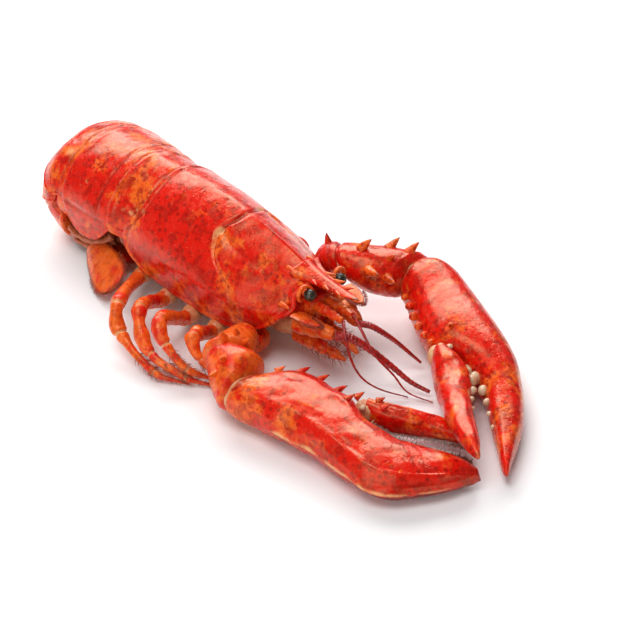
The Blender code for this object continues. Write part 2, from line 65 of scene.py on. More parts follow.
# Lengths below are in millimetres in the lobster's own layout: y = 0 is the carapace's rear edge on
# the back, -Y is ahead, +X is its left side and z = 0 is the table. SHIFT centres it on the frame.
SHIFT = np.array([-1.3, 58.3, 0.0])
UP = np.array([0, 0, 1.0])
SIDES = ((-1, "right"), (1, "left"))

# Named values on each point of a shell that its material reads. Besides the shell's own colour, orange and
# pale also carry painted highlights and a painted reflection in places, and dark also carries painted
# shade.
PAINTS = ("orange", "dark", "pale", "groove")
# Tint of the shell's highlights.
WARM = (1.0, 0.72, 0.36, 1)


# ---------------------------------------------------------------- curves and meshes

def along(keys, x):
    """Smooth curve through (x, value) keys, flat beyond its ends; x may be an array."""
    place = np.array([k[0] for k in keys], float)
    value = np.array([k[1] for k in keys], float)
    last = len(keys) - 1
    low, high = np.maximum(np.arange(last + 1) - 1, 0), np.minimum(np.arange(last + 1) + 1, last)
    slope = (value[high] - value[low]) / (place[high] - place[low])
    x = np.clip(np.asarray(x, float), place[0], place[-1])
    i = np.clip(np.searchsorted(place, x, side="right") - 1, 0, last - 1)
    span = place[i + 1] - place[i]
    t = (x - place[i]) / span
    return ((2 * t**3 - 3 * t**2 + 1) * value[i] + (t**3 - 2 * t**2 + t) * slope[i] * span
            + (3 * t**2 - 2 * t**3) * value[i + 1] + (t**3 - t**2) * slope[i + 1] * span)


def bump(x, middle, width):
    """Smooth hill of height 1 at the middle."""
    return np.exp(-((x - middle) / width) ** 2)


def ramp(x, start, end):
    """Smooth step from 0 at start to 1 at end."""
    t = np.clip((x - start) / (end - start), 0, 1)
    return t * t * (3 - 2 * t)


def waves(points, size, seed):
    """Gentle repeatable unevenness over points in mm, about -1 to 1, with bumps of about that size."""
    rng = np.random.default_rng(seed)
    total = np.zeros(points.shape[:-1])
    for _ in range(7):
        direction = rng.normal(size=3)
        direction *= (0.7 + 0.8 * rng.random()) * 2 * math.pi / size / np.linalg.norm(direction)
        total += np.sin(points @ direction + rng.random() * 2 * math.pi)
    return total / 3.2


def signed_power(x, power):
    """Power of the size of x, with the sign of x."""
    return np.sign(x) * np.abs(x) ** power


def unit(v):
    """The same directions at length 1."""
    v = np.asarray(v, float)
    return v / np.linalg.norm(v, axis=-1, keepdims=True)


def around(count):
    """A row of evenly spaced angles, once round."""
    return (np.arange(count) / count * 2 * math.pi)[None, :]


def rippled(grid, direction, size, seed, amount):
    """The grid moved along a direction by gentle unevenness."""
    return grid + direction * (waves(grid, size, seed) * amount)[..., None]


def mesh_piece(name, points, faces, paint, material):
    """A mesh object from points in mm; paint holds named values for each point that its material reads."""
    points = np.asarray(points, float)
    mesh = bpy.data.meshes.new(name)
    world = (points + SHIFT) * MM
    world[:, 2] = np.maximum(world[:, 2], 0.0)
    mesh.from_pydata(world.tolist(), [], faces)
    mesh.update()
    for key in PAINTS:
        layer = mesh.attributes.new(key, "FLOAT", "POINT")
        values = np.broadcast_to(np.asarray(paint.get(key, 0.0), float), (len(points),))
        layer.data.foreach_set("value", np.clip(values, 0, 1).astype(np.float32))
    bm = bmesh.new()
    bm.from_mesh(mesh)
    bmesh.ops.recalc_face_normals(bm, faces=bm.faces[:])
    bm.to_mesh(mesh)
    bm.free()
    mesh.shade_smooth()
    mesh.materials.append(material)
    obj = bpy.data.objects.new(name, mesh)
    bpy.context.scene.collection.objects.link(obj)
    return obj


def skin_faces(rows, count, closed=True, start=None, end=None):
    """Quads between rows of count points; start and end are indices of the hubs that close the ends."""
    faces = []
    for r in range(rows - 1):
        a, b = r * count, (r + 1) * count
        for i in range(count if closed else count - 1):
            j = (i + 1) % count
            faces.append((a + i, a + j, b + j, b + i))
    if start is not None:
        faces += [((i + 1) % count, i, start) for i in range(count)]
    if end is not None:
        base = (rows - 1) * count
        faces += [(base + i, base + (i + 1) % count, end) for i in range(count)]
    return faces


def tube_piece(name, grid, paint, material, tips=(None, None)):
    """Closed skin over rings (rows, count, 3); each end narrows to its tip, or to its own middle."""
    rows, count = grid.shape[:2]
    start = grid[0].mean(axis=0) if tips[0] is None else np.asarray(tips[0], float)
    end = grid[-1].mean(axis=0) if tips[1] is None else np.asarray(tips[1], float)
    points = np.vstack([grid.reshape(-1, 3), start, end])
    full = {}
    for key, values in paint.items():
        values = np.broadcast_to(np.asarray(values, float), (rows, count))
        full[key] = np.concatenate([values.reshape(-1), [values[0].mean(), values[-1].mean()]])
    faces = skin_faces(rows, count, start=rows * count, end=rows * count + 1)
    return mesh_piece(name, points, faces, full, material)


def joined(name, parts):
    """One object from several, kept in place."""
    bpy.ops.object.select_all(action="DESELECT")
    for part in parts:
        part.select_set(True)
    bpy.context.view_layer.objects.active = parts[0]
    bpy.ops.object.join()
    parts[0].name = name
    parts[0].data.name = name
    return parts[0]


def seat(piece, node):
    """Stand a visual piece in for its CAD node, if it has one, and hang it on the body."""
    if node:
        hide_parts(node)
    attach(piece, "root")


def spine_part(root, tip, radius, material, paint=None, bend=(0, 0, 0), count=12, rows=9):
    """A curved thorn from root to tip, in mm."""
    root, tip, bend = np.array(root, float), np.array(tip, float), np.array(bend, float)
    ahead = unit(tip - root)
    side = unit(np.cross(ahead, [0.13, 0.31, 0.94]))
    top = np.cross(side, ahead)
    t = np.linspace(0, 1, rows)[:, None, None]
    angle = around(count)[..., None]
    width = radius * (1 - t) ** 0.85 * (1 + 0.5 * np.clip(0.25 - t, 0, 1)) + 0.05
    centre = root + (tip - root) * t + bend * np.sin(math.pi * t)
    grid = centre + side * (width * np.cos(angle)) + top * (width * np.sin(angle))
    shade = {"orange": 0.75, "dark": ramp(t[:, :, 0], 0.75, 1.0) * 0.85}
    shade.update(paint or {})
    return tube_piece("thorn", grid, shade, material, tips=(None, tip))


def bead_part(place, radii, material, paint=None):
    """A small rounded knob in mm."""
    rows, count = 8, 12
    lat = np.linspace(-math.pi / 2 + 0.15, math.pi / 2 - 0.15, rows)[:, None]
    lon = around(count)
    rx, ry, rz = radii
    place, pole = np.array(place, float), np.array([0, 0, rz])
    grid = place + np.stack([rx * np.cos(lat) * np.cos(lon), ry * np.cos(lat) * np.sin(lon),
                             rz * np.sin(lat) * np.ones_like(lon)], axis=-1)
    return tube_piece("bead", grid, paint or {}, material, tips=(place - pole, place + pole))


def frame_of(direction, up=(0, 0, 1)):
    """Side and top directions of a section."""
    side = unit(np.cross(direction, np.asarray(up, float)))
    return side, unit(np.cross(side, direction))


# ---------------------------------------------------------------- finishes

class Shader:
    """A material's node tree with short calls to add linked nodes."""

    def __init__(self, name):
        self.mat = bpy.data.materials.new("lobster_" + name)
        self.mat.use_nodes = True
        self.tree = self.mat.node_tree
        self.main = self.tree.nodes["Principled BSDF"]
        self.place = self.add("TexCoord").outputs["Object"]

    def put(self, socket, value):
        if isinstance(value, bpy.types.NodeSocket):
            self.tree.links.new(value, socket)
        else:
            socket.default_value = value

    def add(self, kind, inputs=None, **settings):
        node = self.tree.nodes.new("ShaderNode" + kind)
        for key, value in settings.items():
            setattr(node, key, value)
        for key, value in (inputs or {}).items():
            self.put(node.inputs[key], value)
        return node

    def paint(self, key):
        return self.add("Attribute", attribute_name=key).outputs["Fac"]

    def noise(self, scale, detail=3.0, rough=0.55, warp=0.0):
        node = self.add("TexNoise", {"Vector": self.place, "Scale": scale, "Detail": detail,
                                     "Roughness": rough,
                                     "Distortion": warp})
        return node.outputs["Fac"]

    def cells(self, scale):
        return self.add("TexVoronoi", {"Vector": self.place, "Scale": scale}).outputs["Distance"]

    def spread(self, value, low, high, to_low=0.0, to_high=1.0):
        node = self.add("MapRange", {"Value": value, "From Min": low, "From Max": high, "To Min": to_low,
                                     "To Max": to_high}, interpolation_type="SMOOTHSTEP")
        return node.outputs["Result"]

    def chain(self, operation, values):
        total = values[0]
        for value in values[1:]:
            total = self.add("Math", {0: total, 1: value}, operation=operation).outputs[0]
        return total

    def sum(self, *values):
        return self.chain("ADD", values)

    def times(self, *values):
        return self.chain("MULTIPLY", values)

    def blend(self, factor, below, above):
        node = self.add("Mix", {0: factor, 6: below, 7: above}, data_type="RGBA", blend_type="MIX")
        return node.outputs[2]

    def finish(self, colour, rough, height=None, strength=0.3, distance=0.0003, **fixed):
        for key, value in {"Base Color": colour, "Roughness": rough, **fixed}.items():
            self.put(self.main.inputs[key], value)
        if height is not None:
            relief = self.add("Bump", {"Height": height, "Strength": strength, "Distance": distance})
            self.put(self.main.inputs["Normal"], relief.outputs["Normal"])
        return self.mat


def shell_finish(name, red, deep, orange, cream, mottle, gloss, spots):
    """Boiled shell: deep red with darker blotches and dots, orange mottling and small pale flecks."""
    s = Shader(name)
    patches, fine = s.noise(125, 5.0, 0.62, 0.7), s.noise(420, 4.0, 0.65, 0.3)
    # The orange value holds the shell's orange mottling and, in a few places, painted highlights and a
    # painted reflection.
    amount = s.sum(s.paint("orange"),
                   s.spread(s.noise(50, 4.0, 0.6, 0.8), 0.36, 0.66, mottle - 0.22, mottle + 0.30),
                   s.spread(patches, 0.40, 0.66, -0.26, 0.36), s.spread(fine, 0.35, 0.70, -0.12, 0.18))
    blotch = s.spread(s.noise(160, 4.0, 0.6, 0.6), 0.49, 0.60)
    clusters = s.spread(s.noise(55, 2.0, 0.5), 0.36, 0.52)
    wide_dots = s.times(s.spread(s.sum(s.cells(300), s.times(fine, 0.25)), 0.49, 0.39), clusters)
    small_dots = s.times(s.spread(s.cells(560), 0.30, 0.22), s.spread(patches, 0.44, 0.56))
    pins = s.times(s.spread(s.cells(820), 0.17, 0.10), s.spread(s.noise(110, 2.0), 0.46, 0.60))
    # Painted glints: small cream specks over the whole shell stand in for its sparkling highlights.
    painted_glints = s.spread(s.noise(1100, 2.0, 0.6), 0.66, 0.74)
    worn = s.spread(s.noise(330, 4.0, 0.65), 0.56, 0.72)
    colour = s.blend(s.spread(amount, 0.20, 0.92), red, orange)
    colour = s.blend(s.times(blotch, spots * 0.8), colour, deep)
    colour = s.blend(s.times(wide_dots, spots), colour, deep)
    colour = s.blend(s.times(small_dots, spots * 0.85), colour, deep)
    colour = s.blend(s.times(worn, s.spread(amount, 0.3, 0.9), 0.26), colour, cream)
    colour = s.blend(s.times(painted_glints, 0.36), colour, cream)
    # The pale value holds pale streaks, joint lines and rims and, on the claws and fingers, painted
    # highlights.
    pale = s.paint("pale")
    colour = s.blend(s.spread(s.sum(pale, s.times(s.sum(patches, -0.5), pale, 2.4)), 0.25, 0.9), colour,
                     cream)
    colour = s.blend(s.times(pins, 0.75), colour, (0.055, 0.012, 0.006, 1))
    # The dark value holds darker tips, rims and joint ends, and also painted shade on the claws'
    # undersides, on the far arm and on the tail's tucked-under shells.
    colour = s.blend(s.spread(s.sum(s.paint("dark"), s.times(s.sum(patches, -0.5), 0.6)), 0.15, 0.95),
                     colour,
                     (0.075, 0.007, 0.003, 1))
    colour = s.blend(s.paint("groove"), colour, (0.12, 0.008, 0.004, 1))
    height = s.sum(s.times(s.noise(520, 4.0, 0.6), 0.9), s.times(s.spread(s.cells(700), 0.0, 0.4), 0.45),
                   s.times(s.noise(120, 2.0, 0.5), 1.6))
    rough = s.spread(s.noise(260, 3.0, 0.6), 0.35, 0.75, gloss - 0.08, gloss + 0.16)
    grain = 0.40 * bpy.context.scene.lobster_detail.relief
    return s.finish(colour, rough, height, grain, 0.0004,
                    **{"Specular IOR Level": 0.62, "Specular Tint": WARM,
                                                            "Coat Weight": 0.08, "Coat Roughness": 0.10})


def soft_finish(name, light, dark):
    """Cream joint skin and soft underparts, folded and blotched."""
    s = Shader(name)
    colour = s.blend(s.spread(s.noise(240, 4.0, 0.65, 0.8), 0.38, 0.66), light, dark)
    colour = s.blend(s.times(s.paint("orange"), 0.8), colour, (0.62, 0.13, 0.03, 1))
    # The dark value darkens the skin; on the folds inside the tail it is painted shade.
    colour = s.blend(s.paint("dark"), colour, (0.10, 0.022, 0.012, 1))
    height = s.sum(s.noise(420, 4.0, 0.65), s.times(s.cells(600), 0.5))
    return s.finish(colour, 0.35, height, 0.5, 0.0005, **{"Specular IOR Level": 0.45, "Coat Weight": 0.25,
                                                           "Coat Roughness": 0.2})


def plain_finish(name, colour, accent, rough, scale, coat=0.0):
    """A two-tone finish for small parts."""
    s = Shader(name)
    mixed = s.blend(s.spread(s.noise(scale, 3.0, 0.6), 0.4, 0.65), colour, accent)
    mixed = s.blend(s.paint("dark"), mixed, (0.05, 0.012, 0.008, 1))
    return s.finish(mixed, rough, s.noise(scale * 2, 3.0), 0.25, 0.0002, **{"Coat Weight": coat})


# Orange mottling, roughness over the chosen one, and strength of the dark dots.
SHELL_FINISHES = {"shell": (0.0, 0.0, 0.78), "claw_shell": (-0.03, -0.03, 0.78),
                  "limb_shell": (0.24, 0.04, 0.34)}
# Light and dark colour.
SOFT_FINISHES = {
    "joint_skin": ((0.78, 0.50, 0.26, 1), (0.66, 0.26, 0.11, 1)),
    "soft_belly": ((0.56, 0.15, 0.06, 1), (0.32, 0.045, 0.02, 1)),
}
# Colour, accent, roughness, scale of the accents and clear coat.
PLAIN_FINISHES = {
    "eye_black": ((0.010, 0.011, 0.006, 1), (0.05, 0.035, 0.016, 1), 0.24, 700, 0.15),
    "feeler_red": ((0.50, 0.012, 0.008, 1), (0.28, 0.008, 0.006, 1), 0.24, 420, 0.4),
    "bristle": ((0.26, 0.045, 0.018, 1), (0.42, 0.10, 0.035, 1), 0.55, 800),
    "fringe": ((0.42, 0.06, 0.02, 1), (0.24, 0.03, 0.012, 1), 0.5, 800),
    "tooth": ((0.10, 0.035, 0.02, 1), (0.26, 0.10, 0.05, 1), 0.35, 700, 0.3),
    "tooth_cream": ((0.74, 0.56, 0.36, 1), (0.62, 0.36, 0.20, 1), 0.3, 260, 0.5),
}


def finish(name):
    """The named finish, made once."""
    if "lobster_" + name in bpy.data.materials:
        return bpy.data.materials["lobster_" + name]
    if name in SOFT_FINISHES:
        return soft_finish(name, *SOFT_FINISHES[name])
    if name in PLAIN_FINISHES:
        return plain_finish(name, *PLAIN_FINISHES[name])
    look = bpy.context.scene.lobster_look
    mottle, rougher, spots = SHELL_FINISHES[name]
    colours = [(*colour, 1) for colour in (look.red, look.deep, look.orange, look.cream)]
    return shell_finish(name, *colours, mottle, look.gloss + rougher, spots)


# ---------------------------------------------------------------- scattered thorns and bristles

# Radius of a scattered thorn's point in metres.
THORN_POINT = 0.00002


def scatter_tree():
    """Geometry Nodes tree: a tapered thorn on every point, turned along its aim, sized by its size."""
    tree = bpy.data.node_groups.get("scatter_thorns")
    if tree:
        return tree
    tree = bpy.data.node_groups.new("scatter_thorns", "GeometryNodeTree")
    face = tree.interface
    face.new_socket("Geometry", in_out="INPUT", socket_type="NodeSocketGeometry")
    for label, default in (("Length", 0.003), ("Radius", 0.0003), ("Unevenness", 0.3)):
        face.new_socket(label, in_out="INPUT", socket_type="NodeSocketFloat").default_value = default
    for label, default in (("Sides", 5), ("Seed", 3)):
        face.new_socket(label, in_out="INPUT", socket_type="NodeSocketInt").default_value = default
    face.new_socket("Material", in_out="INPUT", socket_type="NodeSocketMaterial")
    face.new_socket("Geometry", in_out="OUTPUT", socket_type="NodeSocketGeometry")

    def add(kind, fixed=None, **settings):
        node = tree.nodes.new(kind)
        for key, value in settings.items():
            setattr(node, key, value)
        for key, value in (fixed or {}).items():
            node.inputs[key].default_value = value
        return node

    entry, leave = add("NodeGroupInput"), add("NodeGroupOutput")
    cone = add("GeometryNodeMeshCone", {"Radius Top": THORN_POINT}, fill_type="NGON")
    aim = add("GeometryNodeInputNamedAttribute", {"Name": "aim"}, data_type="FLOAT_VECTOR")
    size = add("GeometryNodeInputNamedAttribute", {"Name": "size"}, data_type="FLOAT")
    turn = add("FunctionNodeAlignRotationToVector", axis="Z")
    low = add("ShaderNodeMath", {0: 1.0}, operation="SUBTRACT")
    high = add("ShaderNodeMath", {0: 1.0}, operation="ADD")
    chance = add("FunctionNodeRandomValue", data_type="FLOAT")
    scale = add("ShaderNodeMath", operation="MULTIPLY")
    spots = add("GeometryNodeInstanceOnPoints")
    real = add("GeometryNodeRealizeInstances")
    paint = add("GeometryNodeSetMaterial")
    # Sockets 2 and 3 of the chance node are its least and greatest number, and output 1 is the number.
    for source, output, target, way_in in (
            (entry, "Sides", cone, "Vertices"), (entry, "Radius", cone, "Radius Bottom"),
            (entry, "Length", cone, "Depth"), (aim, "Attribute", turn, "Vector"),
            (entry, "Unevenness", low, 1), (entry, "Unevenness", high, 1), (low, 0, chance, 2),
            (high, 0, chance, 3), (entry, "Seed", chance, "Seed"), (size, "Attribute", scale, 0),
            (chance, 1, scale, 1), (entry, "Geometry", spots, "Points"), (cone, "Mesh", spots, "Instance"),
            (turn, "Rotation", spots, "Rotation"), (scale, 0, spots, "Scale"),
            (spots, "Instances", real, "Geometry"), (real, "Geometry", paint, "Geometry"),
            (entry, "Material", paint, "Material"), (paint, "Geometry", leave, "Geometry")):
        tree.links.new(source.outputs[output], target.inputs[way_in])
    return tree


def scattered(name, points, aims, sizes, length, radius, material, uneven=0.3, sides=5, seed=3):
    """A plain mesh of thorns or bristles on points in mm."""
    points = np.asarray(points, float)
    mesh = bpy.data.meshes.new(name + "_spots")
    mesh.from_pydata(((points + SHIFT) * MM).tolist(), [], [])
    aim = mesh.attributes.new("aim", "FLOAT_VECTOR", "POINT")
    aim.data.foreach_set("vector", unit(aims).astype(np.float32).reshape(-1))
    size = mesh.attributes.new("size", "FLOAT", "POINT")
    size.data.foreach_set("value", np.broadcast_to(np.asarray(sizes, float),
                                                   (len(points),)).astype(np.float32))
    holder = bpy.data.objects.new(name + "_spots", mesh)
    bpy.context.scene.collection.objects.link(holder)
    tree = scatter_tree()
    maker = holder.modifiers.new("thorns", "NODES")
    maker.node_group = tree
    if material in (finish("bristle"), finish("fringe")):
        length = length * bpy.context.scene.lobster_detail.bristle
    values = {"Length": length * MM, "Radius": radius * MM, "Unevenness": uneven, "Sides": sides,
              "Seed": seed,
              "Material": material}
    for item in tree.interface.items_tree:
        if item.item_type == "SOCKET" and item.in_out == "INPUT" and item.name in values:
            maker[item.identifier] = values[item.name]
    graph = bpy.context.evaluated_depsgraph_get()
    result = bpy.data.meshes.new_from_object(holder.evaluated_get(graph))
    result.name = name
    place = np.empty(len(result.vertices) * 3, np.float32)
    result.vertices.foreach_get("co", place)
    place[2::3] = np.maximum(place[2::3], 0)
    result.vertices.foreach_set("co", place)
    bpy.data.objects.remove(holder, do_unlink=True)
    bpy.data.meshes.remove(mesh)
    for key in list(result.attributes):
        if key.name in ("aim", "size"):
            result.attributes.remove(key)
    if not len(result.materials):
        result.materials.append(material)
    obj = bpy.data.objects.new(name, result)
    bpy.context.scene.collection.objects.link(obj)
    return obj


# ---------------------------------------------------------------- carapace

WIDTH = [(-95, 12.5), (-85, 16.5), (-72, 21), (-58, 25.5), (-44, 27.6), (-28, 28.4), (-10, 28.4),
         (14, 27.6)]
RIDGE = [(-95, 40.5), (-86, 44.5), (-74, 48.8), (-60, 52.6), (-46, 55), (-28, 57), (-8, 57.8), (14, 57)]
HEM = [(-95, 20), (-84, 16), (-70, 13), (-50, 11), (-10, 12), (14, 14)]
REAR_EDGE = [(0, 4), (0.25, 5), (0.43, 6), (0.6, 11.5), (0.82, 13.5), (0.93, 9), (1, -3)]
FRONT_EDGE = [(0, -91), (0.2, -89), (0.36, -86), (0.5, -88), (0.7, -84), (0.86, -78), (1, -67)]
ARCH_POWER = [(-95, 1.6), (-60, 1.5), (-30, 1.34), (0, 1.22)]
GROOVE_Y = [(0, -44), (0.15, -42.6), (0.28, -39), (0.36, -41), (0.43, -44), (0.5, -51), (0.56, -57),
            (0.7, -60),
            (1, -62)]


# Rows inside the carapace's rear edge: how far in from the skin, and how far ahead.
REAR_RIM = ((2.4, -9.0), (1.9, -4.5), (1.5, -1.6), (0.9, -0.35), (0.35, -0.05))
# Share of the carapace's height where its flank turns down, the turn where that starts, and the tuck below.
BODY_BROAD, BODY_BEND, BODY_TUCK = 0.36, 0.72, 0.07


def arch(width, top, hem, broad, power, turn, bend, tuck):
    """Half section across a shell: distance out and height at turn, 0 on the back to 1 at the hem."""
    angle = np.minimum(turn / bend, 1) * math.pi / 2
    drop = np.clip((turn - bend) / (1 - bend), 0, 1)
    out = np.where(turn > bend, width * (1 - tuck * drop**2), width * np.sin(angle) ** power)
    up = np.where(turn > bend, broad - (broad - hem) * drop, broad + (top - broad) * np.cos(angle) ** power)
    return out, up


def body_arch(y, turn, inset=0.0):
    """The carapace's half section at y."""
    top, hem = along(RIDGE, y) - inset, along(HEM, y)
    return arch(along(WIDTH, y) - inset, top, hem, hem + BODY_BROAD * (top - hem), along(ARCH_POWER, y),
                turn,
                BODY_BEND, BODY_TUCK)


def carapace_skin(run, side, inset=0.0):
    """Points of the carapace; run 0 at the rear edge to 1 in front, side -1 to 1 across."""
    turn = np.abs(side)
    rear, front = along(REAR_EDGE, turn), along(FRONT_EDGE, turn)
    y = rear + (front - rear) * run
    out, up = body_arch(y, turn, inset)
    return np.stack([np.sign(side) * out, y, up], axis=-1)


def outward(grid):
    """Normals of a grid of closed rings (rows, count, 3), turned away from each ring's middle."""
    normal = np.cross(np.roll(grid, -1, axis=1) - np.roll(grid, 1, axis=1), np.gradient(grid, axis=0))
    normal = normal / np.maximum(np.linalg.norm(normal, axis=-1, keepdims=True), 1e-9)
    middle = grid.mean(axis=1, keepdims=True)
    flip = np.sign(np.sum(normal * (grid - middle), axis=-1).mean())
    return normal * (flip if flip else 1)


def under_skin(y, part):
    """Hollow underside of the carapace, part -1 to 1 across."""
    return np.stack([part * along(WIDTH, y) * 0.93, y + 0 * part, along(HEM, y)
                     + 6.5 * (1 - np.abs(part) ** 3)],
                    axis=-1)


def make_carapace():
    """The shield with its grooves and rim, closed below, with the beak and six thorns."""
    rows, count = 172, 221
    run = np.linspace(0, 1, rows)[:, None]
    side = np.linspace(-1, 1, count)[None, :]
    turn = np.abs(side) + 0 * run
    grid = carapace_skin(run, side + 0 * run)
    y = grid[..., 1]
    under = np.linspace(0.9, -0.9, 16)
    low = np.stack([under_skin(y[r, 0], under) for r in range(rows)])
    ring = np.concatenate([grid, low], axis=1)
    normal = outward(ring)[:, :count]
    ahead = y - along(GROOVE_Y, turn)
    depth = along([(0, 0.8), (0.25, 1.5), (0.45, 0.7), (0.6, 0.5), (1, 0.2)], turn)
    rear = y - along(REAR_EDGE, turn)
    relief = -bump(ahead, 0, 1.1) * depth + bump(ahead, -3.4, 2.4) * 0.35 * depth
    relief -= ramp(rear, -3.9, -3.1) * ramp(-rear, 2.3, 3.1) * 0.55
    relief += ramp(rear, -2.6, -1.2) * 0.35 - ramp(rear, -0.5, 0.0) * 0.7
    hem_line = (1 - turn) * 62
    relief -= bump(hem_line, 3.2, 1.0) * 0.45 * ramp(-rear, 1.0, 4.0)
    relief += waves(grid, 26, 5) * 0.22 + waves(grid, 9, 6) * 0.07
    rib = along([(-95, 0.9), (-70, 0.6), (-48, 0.2), (-40, 0)], y)
    relief += bump(turn, 0, 0.035) * rib
    branch = bump(turn, along([(-95, 0.3), (-60, 0.33), (-46, 0.30), (-42, 0.27)], y), 0.028)
    relief -= branch * along([(-90, 0.0), (-62, 0.35), (-46, 0.8), (-40, 0.9), (-38, 0)], y)
    front = y - along(FRONT_EDGE, turn)
    relief += bump(front, 1.6, 1.1) * 0.7
    relief -= bump(front, 4.2, 1.4) * 0.35
    grid = grid + normal * relief[..., None]

    low_edge, forward = ramp(turn, 0.46, 0.95), ramp(-y, 30, 86)
    orange = 0.02 + 0.34 * low_edge + 0.20 * forward * ramp(turn, 0.2, 0.5) + 0.22 * waves(grid, 21, 11)
    orange += 0.7 * bump(ahead, -1.2, 2.4) * ramp(turn, 0.22, 0.34)
    orange += 0.45 * bump(turn, 0.28, 0.06) * ramp(-y, 30, 42) * ramp(y, -78, -60)
    # Painted reflection: orange along the upper far side of the shield.
    orange += 0.5 * ramp(grid[..., 0], 6, 18) * ramp(grid[..., 2], 30, 44)
    orange += 0.32 * ramp(rear, -16, -2) * ramp(turn, 0.3, 0.55)
    orange -= 0.5 * bump(turn, 0.36, 0.22) * ramp(-y, -8, 4) * ramp(y, -44, -30)
    pale = 0.95 * bump(np.hypot((turn - 0.275) * 70, y + 39.6), 0, 2.0)
    pale += 0.42 * bump(ahead, 1.0, 1.6) * ramp(turn, 0.22, 0.30) * ramp(-turn, -0.52, -0.40)
    pale += 0.6 * ramp(rear, -9, -2) * bump(turn, 0.47, 0.07) * (0.5 + 0.5 * waves(grid, 7, 3))
    # Painted reflection: pale streaks on the far side's upper flank.
    pale += 0.45 * ramp(grid[..., 0], 9, 18) * bump(turn, 0.3, 0.09) * ramp(waves(grid, 24, 9), 0.1, 0.8)
    dark = 0.55 * ramp(turn, 0.965, 1.0) + 0.3 * ramp(rear, -0.7, 0.0)
    groove = 0.75 * bump(ahead, 0.0, 0.55) * along([(0, 0.9), (0.24, 1.0), (0.30, 0.25), (0.6, 0.2),
                                                    (1, 0.5)], turn)
    groove += 0.6 * bump(rear, -3.4, 0.35) * ramp(-turn, -0.9, -0.7)

    rim_rows = []
    for inset, pull in REAR_RIM:
        ring = carapace_skin(np.zeros((1, 1)), side, inset)[0]
        ring[:, 1] += pull
        rim_rows.append(ring)
    outer = np.concatenate([np.stack(rim_rows), grid], axis=0)
    low = [under_skin(outer[r, 0, 1], under)
           + [0, 0, 1.2 if r < len(REAR_RIM) else 0] for r in range(len(outer))]
    ring = np.concatenate([outer, np.stack(low)], axis=1)

    def fill(values, rim, base):
        values = np.concatenate([np.full((len(REAR_RIM), count), rim), values + np.zeros((rows, count))],
                                axis=0)
        return np.concatenate([values, np.full((len(values), len(under)), base)], axis=1)

    paint = {"orange": fill(orange, 0.7, 0.5), "pale": fill(pale, 0.1, 0.5), "dark": fill(dark, 0.5, 0.3),
             "groove": fill(groove, 0.2, 0.0)}
    body = tube_piece("carapace_back", ring, paint, finish("shell"), tips=(None, (0, -70, 30)))
    thorns = [make_beak()]
    for side in (-1, 1):
        for y, turn, length, radius in ((-84, 0.27, 6.5, 1.3), (-81, 0.50, 7.5, 1.7),
                                        (-76, 0.22, 5.0, 1.2)):
            out, up = body_arch(y, turn)
            root = np.array([side * (out - 0.5), y, up - 0.4])
            tip = root + [side * 0.16 * length, -length, 0.12 * length]
            thorns.append(spine_part(root, tip, radius, finish("shell"), bend=(0, 0, 0.5)))
    seat(joined("carapace_shell", [body] + thorns), "carapace")


def make_beak():
    """The beak between the eyes, with a ridge down its middle and its side spines."""
    rows, count = 60, 36
    t = np.linspace(0, 1, rows)[:, None]
    angle = around(count)
    y = -80 - 33 * t
    half = along([(0, 8.6), (0.14, 6.2), (0.36, 4.2), (0.72, 2.7), (0.93, 1.3), (1, 0.4)], t)
    middle = along([(0, 44.6), (0.12, 43.8), (0.4, 43.2), (0.75, 43.2), (1, 43.8)], t)
    deep = along([(0, 4.2), (0.5, 2.4), (1, 0.4)], t)
    c, s = np.cos(angle), np.sin(angle)
    up = np.where(s > 0, deep * 0.55 * s - 0.9 * bump(c, 0.62, 0.2) * (1 - t)
                  + 0.5 * bump(c, 0, 0.16) * (1 - t),
                  deep * s)
    x = half * signed_power(c, 0.8)
    grid = np.stack([x, y + 0 * x, middle + up], axis=-1)
    paint = {"orange": 0.30 + 0.2 * t + 0 * c, "pale": 0.05 + 0.12 * bump(t, 0.5, 0.3) + 0 * c,
             "dark": 0.7 * ramp(t, 0.9, 1.0) + 0 * c}
    beak = tube_piece("beak", grid, paint, finish("shell"), tips=(None, (0, -114.6, 43.9)))
    parts = [beak]
    for sign in (-1, 1):
        for place, wide in ((0.30, 4.9), (0.50, 4.0), (0.68, 3.1)):
            root = (sign * (wide - 1.1), -80 - 33 * place, 43.2)
            tip = (sign * (wide + 1.0), -80 - 33 * place - 4.6, 44.6)
            parts.append(spine_part(root, tip, 1.15, finish("shell")))
    return joined("beak", parts)


# ---------------------------------------------------------------- tail

CURL_Y, CURL_Z, CURL_R = 59.0, 27.1, 28.2
TAIL_WIDTH = [(-9, 22.6), (8, 24.4), (16, 26.4), (28, 29.6), (52, 30.8), (80, 31.4), (104, 31.8), (126, 31),
              (150, 29)]
TAIL_BACK = [(-9, 25.6), (6, 27.8), (24, 29.6), (46, 29), (66, 27.4), (90, 26.8), (112, 28.2), (150, 28.4)]
TAIL_BROAD = [(-9, 0), (24, 3), (60, 5), (150, 9)]
TAIL_EDGE = [(-9, -3), (24, -5), (36, -12), (48, -12), (55, -5), (58, 1.6), (64, 3), (150, 5)]
TAIL_POWER = [(-9, 1.22), (30, 1.18), (60, 1.12), (95, 0.95), (125, 0.78), (150, 0.7)]
TAIL_BEND, TAIL_TUCK = 0.74, 0.05
SEGMENTS = [("abdomen_1", -8, 24), ("abdomen_2", 24, 55.5), ("abdomen_3", 55.5, 72), ("abdomen_4", 72, 91),
            ("abdomen_5", 91, 112), ("abdomen_6", 112, 146)]


def curled(way, across, radial):
    """Points of the tail: way runs along the back, radial is out from the line it curls about."""
    turn = np.maximum(way - CURL_Y, 0) / CURL_R
    y = np.minimum(way, CURL_Y) + np.sin(turn) * radial
    return np.stack([across, y + 0 * across, CURL_Z + np.cos(turn) * radial], axis=-1)


